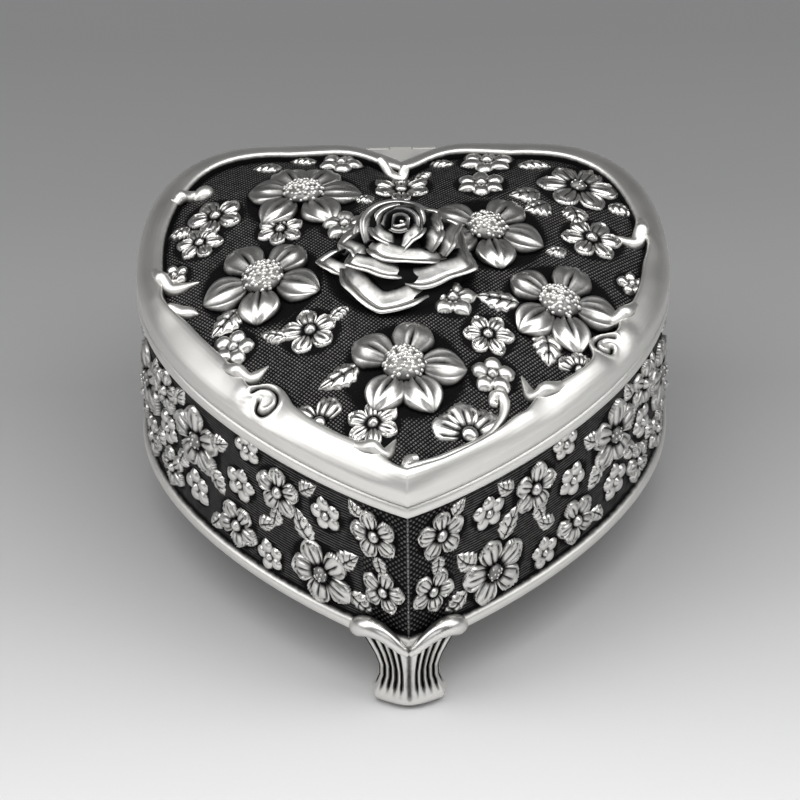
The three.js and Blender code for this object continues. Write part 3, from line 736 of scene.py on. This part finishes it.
def lid_scrolls():
    """Thorns, hooks, the vine and buds along the lid's frame."""
    piece = Casting()
    scrolls = [(path, 34, 0.05, 0.7) for path in THORNS] + [(path, 44, 0.25, 0.0) for path in HOOKS]
    for path, count, lift, bury in scrolls + [(VINE, 70, 0.35, 0.0)]:
        plan = [(*(float(q) for q in wall(s, inset)), r) for s, inset, r in path]
        horn(piece, plan, count, lift=lift, bury=bury)
    for x, y, turn, length in BUDS:
        c, s = cos_sin(turn)
        plan = [(x + c * (k - 0.5) * length, y + s * (k - 0.5) * length, r) for k, r in BUD_SHAPE]
        horn(piece, plan, flat=0.9, lift=0.1)
    return piece


# ---- rose ----
ROSE_BASE = PARTING + DOME_BASE + DOME_RISE - 0.3
ROSE_LEAN = 0.15  # backward lean, per millimetre of height


def about_rose(radius, angle, height):
    """Points about the axis of the rose, which leans back."""
    x, y = ROSE_X + radius * np.cos(angle), ROSE_Y + radius * np.sin(angle) + ROSE_LEAN * height
    return np.stack([x, y, ROSE_BASE + height], -1)


def through(v, left, middle, right):
    """A smooth curve over v from -1 to 1 through three values."""
    return middle + v * (right - left) / 2 + v**2 * ((right + left) / 2 - middle)


def rose_petal(piece, turn, half, reach, rise, roll=1.0, corner=None, wave=0.0, thick=0.5):
    """One cupped petal. turn is its direction and half its half width, in degrees; reach and rise are the lip's
    radius and height at its left end, middle and right end, seen from above with the left end clockwise."""
    rows, columns = 24, 33
    u, v = lattice(np.linspace(0, 1, rows), np.linspace(-1, 1, columns))
    tail = smoothstep(0.6, 1, np.abs(v))
    out = through(v, *reach) * (1 - 0.07 * tail)
    up = through(v, *rise) * (1 - 0.2 * tail) + wave * np.sin(4.2 * v + 0.8) * u**2
    if corner is not None:
        away = np.abs(v - corner)
        out = out + 1.7 * np.maximum(1 - away / 0.6, 0) ** 1.3 - 0.4
        up = up - 0.5 * np.maximum(1 - away / 0.5, 0)
    lip = roll * (1 - 0.45 * tail)
    crest_r = out - lip
    inner = np.maximum(0.45 * crest_r, crest_r - 0.7 * up)
    climb = np.minimum(u / 0.5, 1)
    curl = np.clip((u - 0.5) / 0.5, 0, 1) * 0.42 * pi
    r = inner + (crest_r - inner) * climb**1.3 + lip * np.sin(curl) / math.sin(0.42 * pi)
    z = up * np.sin(climb * pi / 2) ** 0.8 - 0.62 * lip * (1 - np.cos(curl)) - 0.35 * lip * bump(u - 0.72, 0.13)
    thickness = thick * (0.8 + 0.75 * bump(u - 0.97, 0.05)) * (1 - 0.4 * tail)
    dr, dz = np.gradient(r, axis=0), np.gradient(z, axis=0)
    size = np.hypot(dr, dz) + 1e-9
    nr, nz = dz / size, -dr / size
    radius = np.vstack([r + nr * thickness / 2, (r - nr * thickness / 2)[::-1]])
    height = np.maximum(np.vstack([z + nz * thickness / 2, (z - nz * thickness / 2)[::-1]]), -0.6)
    points = about_rose(radius, np.radians(turn + half * np.vstack([v, v])), height)
    # painted shade: the outer face darkens below the lip and the inside towards the petal's foot, and the petal's
    # ends and cut edges are darkened where they tuck behind others; the thin dark line inside the lip's bead is black
    # oxide
    upper = np.maximum(1 - smoothstep(0.36, 0.74, u), 0.75 * bump(u - 0.885, 0.035))
    shade = np.vstack([1 - smoothstep(0.2, 0.9, u), upper[::-1]])
    piece.add(points, grid(2 * rows, columns), dark=np.maximum(shade, 0.6 * np.vstack([tail, tail])))
    near = np.arange(rows - 1)
    pair = np.stack([near, near + 1, 2 * rows - 2 - near, 2 * rows - 1 - near], -1)
    for column in (0, columns - 1):
        piece.add(points[:, column], pair if column else pair[:, ::-1], dark=0.6)


# direction, half width, radius of the lip (left, middle, right), height of the lip, roll, corner, wave
ROSE_PETALS = [
    (-114, 52, (11.4, 12.0, 11.2), (3.0, 2.7, 2.0), 3.4, 0.16, 0.0),
    (176, 24, (10.0, 12.6, 10.4), (1.4, 2.0, 1.4), 2.4, 0.0, 0.0),
    (-44, 40, (8.8, 11.2, 12.6), (3.9, 4.2, 5.2), 3.3, 0.62, 0.2),
    (22, 36, (11.6, 11.6, 10.8), (3.4, 3.2, 2.8), 2.4, 0.4, 0.1),
    (88, 42, (11.0, 11.4, 11.0), (2.8, 3.0, 2.8), 2.4, 0.1, 0.0),
    (140, 30, (10.6, 11.0, 10.6), (2.8, 2.8, 2.6), 2.4, None, 0.1),
    (-124, 42, (9.0, 8.9, 7.8), (6.1, 5.1, 4.4), 2.3, -0.66, 0.0),
    (10, 34, (9.4, 9.8, 9.4), (5.9, 6.4, 6.0), 1.7, 0.3, 0.1),
    (64, 40, (9.0, 9.0, 8.6), (6.0, 6.2, 6.0), 1.6, None, 0.1),
    (128, 44, (8.4, 8.4, 8.6), (6.0, 6.2, 5.6), 1.6, 0.0, 0.0),
    (186, 32, (8.6, 8.8, 8.8), (5.5, 5.8, 5.4), 1.8, -0.2, 0.1),
    (-90, 68, (6.7, 6.5, 8.9), (7.6, 6.6, 6.0), 2.7, None, 0.45),
    (-12, 20, (6.8, 7.4, 6.8), (7.0, 7.9, 7.2), 2.0, None, 0.0),
    (28, 34, (7.6, 7.4, 7.0), (7.2, 7.7, 7.5), 1.3, 0.3, 0.0),
    (112, 84, (6.9, 6.7, 6.4), (7.8, 8.5, 7.9), 1.3, None, 0.15),
    (100, 80, (5.2, 5.1, 4.9), (8.0, 8.9, 8.3), 1.1, -0.5, 0.1),
    (-152, 50, (4.9, 4.6, 3.4), (8.1, 8.0, 7.4), 1.7, None, 0.1),
    (-42, 54, (3.3, 4.6, 4.6), (7.6, 8.3, 8.5), 1.8, -0.85, 0.1),
]

# The inmost petals, the same columns, then their thickness.
ROSE_MIDDLE = [
    (84, 100, (3.2, 3.4, 3.0), (8.1, 9.0, 8.3), 0.5, None, 0.0, 0.45),
    (-96, 70, (2.2, 2.0, 2.4), (8.5, 8.3, 8.7), 0.45, None, 0.0, 0.45),
    (70, 85, (1.5, 1.7, 1.5), (8.7, 9.1, 8.8), 0.35, None, 0.0, 0.4),
]
ROSE_HEART = [(-0.9, 1.0, 0.3), (-0.2, 0.6, 0.42), (0.7, 1.0, 0.42), (0.9, 1.7, 0.36), (0.2, 2.1, 0.3)]
# Radius and height of the core that closes the rose between its petals; it is painted fully dark as painted shade.
ROSE_CORE = np.array([(11.0, -0.6), (10.6, 0.6), (8.6, 1.5), (7.9, 2.3), (7.6, 3.2), (6.2, 4.0), (5.4, 4.7),
                      (4.6, 5.2), (3.4, 6.3), (1.5, 7.0), (0.02, 7.1)])


def rose():
    """Tiers of petals about a rolled heart, on a core painted dark as shade."""
    piece = Casting()
    for petal_row in ROSE_PETALS + ROSE_MIDDLE:
        rose_petal(piece, *petal_row)
    plan = [(ROSE_X + x, ROSE_Y + y, r) for x, y, r in ROSE_HEART]
    horn(piece, plan, count=36, sides=10, flat=1.8, level=ROSE_BASE + 8.0)
    r, turn = lattice(ROSE_CORE[:, 0], circle(40))
    piece.add(about_rose(r, turn, ROSE_CORE[:, 1:] + 0 * turn), grid(len(ROSE_CORE), 40, True), dark=1.0)
    return piece


# ---- wall: bands, ground and flowers ----
def wall_body():
    """The wall's casting: two plain bands with the sunk panel between them, and the flange inside its foot."""
    piece = Casting()
    low, high = FOOT_TOP, PARTING - 0.15
    band = 2.4
    # inset, height over the foot of the wall, darkness; the underside and the flange inside carry painted shade, and
    # the crease into the sunk panel black oxide with painted shade
    lower = [(2.8, 1.6, 0.3), (9.1, 1.6, 0.3), (9.1, 0, 0.3), (0.7, 0, 0.5), (0.25, 0.12, 0.15), (0.05, 0.5, 0),
             (0.0, 1.1, 0), (0.08, 1.7, 0), (0.3, 2.1, 0.1), (0.75, band, 0.7)]
    rows = [(inset, low + z, dark) for inset, z, dark in lower]
    rows += [(PANEL + 0.1, low + band + 0.35, 1), (PANEL + 0.2, low + band + 0.6, 1),
             (PANEL + 0.2, high - band - 0.6, 1), (PANEL + 0.1, high - band - 0.3, 1),
             (0.55, high - band, 0.6), (0.12, high - band + 0.35, 0.1)]
    # inset, depth under the top of the wall, darkness; the top face, under the lid, carries painted shade
    upper = [(0.0, 1.6, 0), (0.03, 1.0, 0), (0.1, 0.55, 0), (0.35, 0.15, 0.1), (0.8, 0, 0.5), (2.8, 0, 0.3)]
    rows += [(inset, high - z, dark) for inset, z, dark in upper] + [(2.8, low + 1.6, 0.3)]
    turned(piece, [row[:2] for row in rows], dark=[row[2] for row in rows])
    return piece


def triangle_wave(x):
    """From 0 to 1 and back over each unit of x."""
    return 1 - 2 * np.abs(x % 1 - 0.5)


def wall_ground():
    """Fine horizontal hatching, crossed near the front corner, which has a beaded edge."""
    piece = Casting()
    pitch = 0.56
    bottom, top = FOOT_TOP + 2.5, PARTING - 2.7
    near = np.arange(0, 10.5, pitch / 4)
    far = np.concatenate([near, np.linspace(near[-1] + 0.7, HALF, 150)])
    s, z = lattice(np.concatenate([-far[::-1], far[1:]]), np.arange(bottom, top + 0.01, pitch / 4))
    away = np.abs(s)
    lines = triangle_wave(z / pitch)
    cross = triangle_wave((z + away) / (2 * pitch)) * triangle_wave((z - away) / (2 * pitch))
    mix = 1 - smoothstep(7.5, 10, away)
    h = (1 - mix) * lines + mix * np.clip(1.6 * cross, 0, 1)
    bead = bump(s, 0.2) * (0.7 + 0.3 * np.cos(2 * pi * z / 0.7))
    x, y = wall(s, PANEL - (0.15 * h + 0.3 * bead))
    shadow = 1 - smoothstep(0.3, 1.8, np.minimum(z - bottom, top - z))
    for cs, cz, radius, *_ in WALL_FLOWERS:
        shadow = shaded(shadow, np.hypot(away - cs, z - PARTING - cz), radius, 1.0)
    shade = np.maximum(1.0 - 0.5 * h, 0.97 * shadow) * (1 - 0.8 * bead)
    piece.add(np.stack([x, y, z], -1), grid(*s.shape), dark=shade)
    return piece


# s, height over the parting plane, radius, kind, petals, first petal
WALL_FLOWERS = [
    (17.4, -22.7, 7.0, "rimmed", 5, 100), (6.5, -9.2, 5.0, "rimmed", 5, 90), (4.8, -20.7, 4.4, "rimmed", 5, 60),
    (26.7, -9.9, 5.2, "rimmed", 5, 75), (37.0, -23.3, 5.0, "rimmed", 5, 110), (48.0, -11.8, 7.0, "rimmed", 5, 80),
    (16.3, -9.6, 3.7, "puffy", 5, 90), (36.2, -14.0, 3.7, "puffy", 5, 60), (29.2, -25.6, 3.4, "puffy", 5, 20),
    (48.6, -22.6, 3.8, "puffy", 5, 90), (56.8, -24.0, 4.2, "rimmed", 5, 100), (34.2, -5.0, 3.3, "puffy", 5, 90),
    (58.6, -8.4, 4.6, "rimmed", 5, 70), (58.4, -16.6, 3.5, "puffy", 5, 40), (68.6, -13.4, 7.0, "rimmed", 5, 95),
    (66.6, -24.4, 4.2, "rimmed", 5, 60), (76.2, -22.6, 4.8, "rimmed", 5, 85), (78.6, -7.2, 4.2, "puffy", 5, 90),
    (85.8, -14.6, 4.8, "rimmed", 5, 100), (86.4, -25.0, 3.6, "puffy", 5, 30), (96.2, -20.4, 7.0, "rimmed", 5, 90),
    (94.6, -8.2, 4.4, "rimmed", 5, 60), (105.6, -10.8, 4.8, "rimmed", 5, 80), (107.0, -24.0, 4.4, "rimmed", 5, 100),
    (115.4, -17.6, 4.2, "puffy", 5, 90), (117.6, -7.4, 4.0, "puffy", 5, 50), (124.8, -22.4, 5.2, "rimmed", 5, 70),
    (126.4, -10.8, 5.2, "rimmed", 5, 90), (135.0, -17.0, 3.8, "puffy", 5, 10), (136.4, -25.2, 3.2, "puffy", 5, 90),
]
# s and height of a leaf's root, of its tip, half width
WALL_LEAVES = [
    ((19.4, -17.2), (22.8, -11.4), 2.1), ((13.6, -19.4), (9.6, -15.4), 2.0), ((11.6, -24.2), (6.8, -27.0), 1.9),
    ((8.8, -6.4), (11.4, -3.6), 1.5), ((5.9, -13.8), (5.0, -17.6), 1.4), ((21.8, -7.4), (18.2, -4.4), 1.6),
    ((27.2, -14.2), (28.2, -18.4), 1.5), ((31.6, -20.2), (27.2, -17.4), 1.5), ((41.6, -24.6), (44.6, -28.0), 1.5),
    ((44.0, -15.0), (40.6, -19.4), 1.9), ((43.0, -9.6), (39.2, -7.2), 1.7), ((52.6, -17.6), (54.2, -21.6), 1.7),
    ((54.0, -7.8), (52.0, -3.8), 1.5), ((62.6, -10.4), (63.6, -5.0), 1.7), ((72.8, -6.8), (71.0, -3.6), 1.6),
    ((63.0, -19.6), (60.8, -22.6), 1.6), ((74.0, -16.8), (78.6, -15.4), 1.9), ((81.0, -20.0), (84.8, -20.2), 1.6),
    ((89.6, -11.6), (87.8, -6.6), 1.6), ((90.6, -27.0), (90.2, -22.4), 1.3), ((101.8, -16.6), (108.0, -16.6), 1.9),
    ((99.8, -6.6), (99.6, -3.4), 1.5), ((110.2, -13.0), (112.6, -9.0), 1.5), ((111.4, -25.4), (116.6, -25.6), 1.6),
    ((121.8, -14.4), (121.2, -17.8), 1.5), ((131.4, -7.4), (134.6, -4.6), 1.6), ((130.0, -24.0), (131.4, -27.6), 1.5),
]


def wall_flowers(side):
    """Ornament of one half of the wall; the two halves mirror each other but for the turn of the flowers."""
    piece = Casting()
    turn = 18 if side < 0 else 0
    for s, z, radius, kind, count, start in WALL_FLOWERS:
        big = radius > 6
        height = 1.65 if big else 1.5 if kind == "rimmed" else 1.05
        angles = even(count, start + turn)
        flower(piece, on_wall(side * s, z), radius, kind, angles, height, core=0.22, grains=11 if big else 0)
    for root, tip, half in WALL_LEAVES:
        leaf(piece, on_wall, (side * root[0], root[1]), (side * tip[0], tip[1]), half, 1.15)
    return piece


# ---- feet ----
# Height of a foot's top by ten times the share of its half width.
FOOT_BROW = np.array([(0, 12.7), (1.5, 13.2), (3, 14.3), (5, 15.7), (7, 16.15), (8.8, 15.6), (10, 14.2)])
# By height: half width, how far it stands proud of the wall, and how deep it reaches inwards.
FOOT_HALVES = np.array([(0, 6.2), (0.35, 6.7), (1.1, 7.1), (2.0, 7.0), (3.4, 6.2), (5, 5.6), (7, 5.6), (9, 6.4),
                        (11, 7.7), (13, 9.2), (16, 10.2)])
FOOT_PROUD = np.array([(0, 0.8), (0.3, 1.3), (1.1, 1.9), (2.0, 2.0), (3.4, 1.6), (4.8, 1.05), (7, 0.8),
                       (10, 0.95), (13, 1.15), (16, 1.1)])
FOOT_DEPTH = np.array([(0, 5.6), (2, 6.0), (4, 7.2), (8, 8.6), (11.3, 9.2)])
# The rolled brow over the flutes: offset along the wall, height, radius.
BROW_ROLL = [(0.2, 11.4, 0.7), (1.5, 12.4, 1.05), (3.2, 13.8, 1.35), (5.2, 14.9, 1.6), (7.2, 15.1, 1.7),
             (9.0, 14.5, 1.65), (10.2, 13.4, 1.25), (10.6, 12.6, 0.3)]
TIP_SOFTNESS = 2.6


def foot(place_s):
    """Fluted foot under a bracket with two rolled wings."""
    piece = Casting()

    def add(offset, inset, z, quads, dark):
        """Adds a patch to the wall's surface; at the heart's sharp tip that surface is rounded off."""
        x, y = wall(place_s + offset, inset)
        if place_s == 0:
            y = wall(np.hypot(offset, TIP_SOFTNESS) - 0.35 * TIP_SOFTNESS, inset)[1]
        piece.add(np.stack([x, y, z], -1), quads, dark=dark)

    levels, across = 44, 73
    t, w = lattice(np.linspace(0, 1, levels), np.linspace(-1, 1, across))
    z = np.interp(np.abs(w) * 10, *FOOT_BROW.T) * (1 - t) ** 0.9
    half = np.interp(14.0 * (1 - t) ** 0.9, *FOOT_HALVES.T)
    flute = np.cos(2 * pi * 5.5 * np.abs(w) ** 0.9)
    fade = smoothstep(2.2, 4.4, z) * smoothstep(0.08, 0.16, np.abs(w))
    stem = bump(w, 0.07) * smoothstep(1.0, 3.0, z)
    out = np.interp(z, *FOOT_PROUD.T) + 0.34 * flute * fade - 0.5 * stem * smoothstep(11, 6, z)
    out = out * (1 - 0.75 * smoothstep(0.84, 1, np.abs(w)) ** 2)
    shade = np.maximum(smoothstep(0.15, -0.8, flute) * fade, 0.7 * stem)
    # painted shade: the bottom millimetre darkens where the foot stands on the floor
    shade = np.maximum(shade, 0.6 * smoothstep(1.0, 0.0, z))
    add(w * half, -out, z, grid(levels, across)[:, ::-1], shade)
    # the two sides, which run inwards from the face
    share = np.array([0, 0.15, 0.5, 1.0])[:, None]
    side = grid(4, levels)
    for column, sign, quads in ((0, -1, side), (-1, 1, side[:, ::-1])):
        level = z[:, column]
        back = np.where(level > 11.2, 0.1, np.interp(level, *FOOT_DEPTH.T))
        # painted shade: each side darkens as it runs in towards the wall
        add(sign * half[:, column] * (1 - 0.12 * share), (1 - share) * -out[:, column] + share * back,
            level + 0 * share, quads, np.repeat([0.0, 0.05, 0.15, 0.25], levels))
    # the back and the sole, darkened as painted shade
    level, w = lattice([11.3, 8.0, 4.0, 2.0, 0.3, 0.0], np.linspace(-1, 1, 15))
    half = np.interp(level / 0.907, *FOOT_HALVES.T) * 0.88
    add(w * half, np.interp(level, *FOOT_DEPTH.T), level, grid(6, 15), 0.25)
    w, inset = lattice(np.linspace(-1, 1, 15), np.linspace(-0.9, 5.6, 6))
    add(w * 5.6 * (1 - 0.02 * np.maximum(inset, 0)), inset, 0 * w + 0.02, grid(15, 6), 0.5)
    count, sides = 44, 16
    line = spline(BROW_ROLL, count)
    r = line[:, 2:3]
    offset, z, sine = tube(line, r, sides)
    quads = grid(count, sides, True)
    # painted shade: the lower half of each rolled wing is darkened
    shade = 0.8 * smoothstep(0.3, -0.7, sine) * np.ones((count, 1))
    for sign, way in ((-1, -1), (1, 1)):
        add(sign * offset, -(0.6 + 0.95 * r * sine), z, quads[:, ::way], shade)
    return piece


# ---- velvet ----
def velvet_wall():
    """The wall's velvet, slightly puckered, with a rounded top edge."""
    piece = Casting()
    low, high = (corner[2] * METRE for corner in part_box("wall_lining_velvet"))
    back, face = 4.0, 4.9
    pucker = 0.05 * np.sin(PLACES * 2 * pi / 9.1) + 0.04 * np.sin(PLACES * 2 * pi / 4.3 + 1)
    profile = [(back, low), (back, high - 0.5), (back + 0.15, high - 0.15), (back + 0.45, high)]
    profile += [(back + 0.75, high - 0.15), (face + pucker * 0.6, high - 0.6), (face + pucker, high - 3)]
    profile += [(face + pucker * 0.8 + 0.03 * k, high - 3 - 3.6 * k) for k in (1, 2, 3, 4, 5)]
    turned(piece, profile + [(face, low), (back, low)])
    return piece


def velvet_pad(node, inset, reach):
    """A thin stuffed pad, fullest in the middle, pulled down round its edge."""
    piece = Casting()
    rows, columns = 26, 300
    x, y = wall(np.linspace(-HALF, HALF, columns, endpoint=False), inset)
    share = np.sin(np.linspace(0.001, 1, rows) * pi / 2)[:, None]
    px, py = x * share * reach, y * share * reach
    full = (1 - share**9) ** 0.5
    floor = node == "floor_pad"
    thick = 3.0 if floor else 1.4
    dimple = 0.16 * thick * np.cos(px / 7.5) * np.cos(py / 7.5) * (1 - share**6)
    if floor:
        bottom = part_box(node)[0][2] * METRE + 0 * px
        top = bottom + thick * (0.35 + 0.6 * full) + 0.3 * dimple
    else:
        top = dome_height(share * reach) - LID_THICKNESS - CARD_ROOM + 0 * px
        bottom = top - thick * (0.3 + 0.66 * full) - 0.3 * dimple
    ring = np.vstack([np.stack([px, py, top], -1), np.stack([px, py, bottom], -1)[::-1]])
    piece.add(ring, grid(2 * rows, columns, True)[:, ::-1])
    return piece


# ---- build ----
frame_piece = lid_frame().build("lid_frame", frame_silver, "lid", sharp=70)
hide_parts("lid_shell")
lid_ground().build("lid_ground", ground_silver, "lid", smooth=False)
large, small = lid_flowers()
large.build("lid_large_flowers", chased, "lid")
small.build("lid_small_flowers", chased, "lid")
lid_scrolls().build("lid_scrolls", frame_silver, "lid")
rose_piece = rose().build("rose_petals", chased, "lid", sharp=60)
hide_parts("rose")

wall_piece = wall_body().build("case_wall", frame_silver, "case", sharp=60)
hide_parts("body_wall")
wall_ground().build("case_ground", ground_silver, "case", smooth=False)
wall_flowers(-1).build("case_flowers_left", chased, "case")
wall_flowers(1).build("case_flowers_right", chased, "case")
for node, place in (("front_foot", 0.0), ("rear_left_foot", -0.7 * HALF), ("rear_right_foot", 0.7 * HALF)):
    piece = foot(place).build(node + "_cast", chased, "case", sharp=60)
    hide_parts(node)

lining = velvet_wall().build("velvet_wall", black_velvet, "case", "velvet")
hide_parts("wall_lining_velvet")
pad = velvet_pad("floor_pad", 5.2, 1.0).build("velvet_floor_pad", black_velvet, "case", "velvet")
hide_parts("floor_pad")
lid_pad = velvet_pad("lid_lining_pad", DOME_EDGE, 0.88).build("velvet_lid_pad", black_velvet, "lid", "velvet")
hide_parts("lid_lining_pad")

dressed = [
    (base_silver, "base_plate"),
    (satin_silver, "lid_hinge_bracket", "body_hinge_bracket"),
    (plain_steel, "hinge_pin", "rose_rivet", "front_foot_screw", "rear_left_foot_screw", "rear_right_foot_screw"),
    (grey_card, "lid_lining_card", "wall_lining_card", "floor_card"),
]
for material, *nodes in dressed:
    for node in nodes:
        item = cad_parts[node]
        item.data.materials.clear()
        item.data.materials.append(material)


# ---- studio, in metres ----
# Painted light falloff: greys of the floor from in front of the box to behind it.
FLOOR_FRONT, FLOOR_BACK = -0.07, 0.14
FLOOR_PAINTED_FALLOFF = [
    (0.0, (0.81, 0.81, 0.81)), (0.26, (0.54, 0.54, 0.542)), (0.51, (0.355, 0.355, 0.357)),
    (0.76, (0.27, 0.27, 0.272)), (1.0, (0.222, 0.222, 0.224)),
]


def studio_floor():
    """A pale paper floor with painted light falloff: its colour darkens towards the back."""
    mesh = bpy.data.meshes.new("floor")
    mesh.from_pydata([(-4, -4, 0), (4, -4, 0), (4, 4, 0), (-4, 4, 0)], [], [(0, 1, 2, 3)])
    floor = bpy.data.objects.new("floor", mesh)
    bpy.context.scene.collection.objects.link(floor)
    look = Look("floor_paper")
    y = look.node("SeparateXYZ", {0: look.node("TexCoord", {}, "Object")}, "Y")
    back = look.node("MapRange", {"From Min": FLOOR_FRONT, "From Max": FLOOR_BACK, "Value": y}, 0)
    look.feed(look.shader, {"Base Color": look.ramp(back, FLOOR_PAINTED_FALLOFF), "Roughness": 0.85})
    mesh.materials.append(look.material)


def softbox(name, place, target, width, height, radiance):
    """A rectangular light at a place, facing its target."""
    light = bpy.data.lights.new(name, "AREA")
    light.shape = "RECTANGLE"
    light.size, light.size_y = width, height
    light.energy = radiance * pi * width * height
    item = bpy.data.objects.new(name, light)
    item.location = place
    direction = Vector(np.array(target, float) - np.array(place, float))
    item.rotation_euler = direction.to_track_quat("-Z", "Y").to_euler()
    bpy.context.scene.collection.objects.link(item)


studio_floor()
softbox("overhead", (0, -0.1, 1.25), (0, -0.1, 0), 2.6, 0.9, 2.7)
softbox("front", (0, -1.7, 0.9), (0, 0, 0.05), 2.2, 0.9, 0.95)
softbox("left", (-1.3, -0.2, 0.7), (0, 0, 0.03), 0.8, 0.8, 1.9)
softbox("right", (1.3, -0.2, 0.7), (0, 0, 0.03), 0.8, 0.8, 1.6)

world = bpy.data.worlds.new("studio")
bpy.context.scene.world = world
world.use_nodes = True
background = world.node_tree.nodes["Background"]
background.inputs["Color"].default_value = (0.08, 0.08, 0.082, 1)
background.inputs["Strength"].default_value = 1.0

# The camera's place and direction come from the fit to the photo's outline.
CAMERA_POSE = Matrix((
    (0.9998995, 0.0137516, -0.0034433, -0.0043),
    (-0.0114769, 0.6426938, -0.7660372, -0.776411),
    (-0.0083213, 0.7659997, 0.6427871, 0.678499),
    (0, 0, 0, 1),
))
SENSOR_WIDTH, FOCAL_LENGTH = 36, 269.63
camera = bpy.data.cameras.new("camera")
camera.sensor_width, camera.lens = SENSOR_WIDTH, FOCAL_LENGTH
camera.clip_start, camera.clip_end = 0.05, 20
camera_item = bpy.data.objects.new("camera", camera)
camera_item.matrix_world = CAMERA_POSE
bpy.context.scene.collection.objects.link(camera_item)
bpy.context.scene.camera = camera_item
bpy.context.scene.view_settings.view_transform = "Standard"
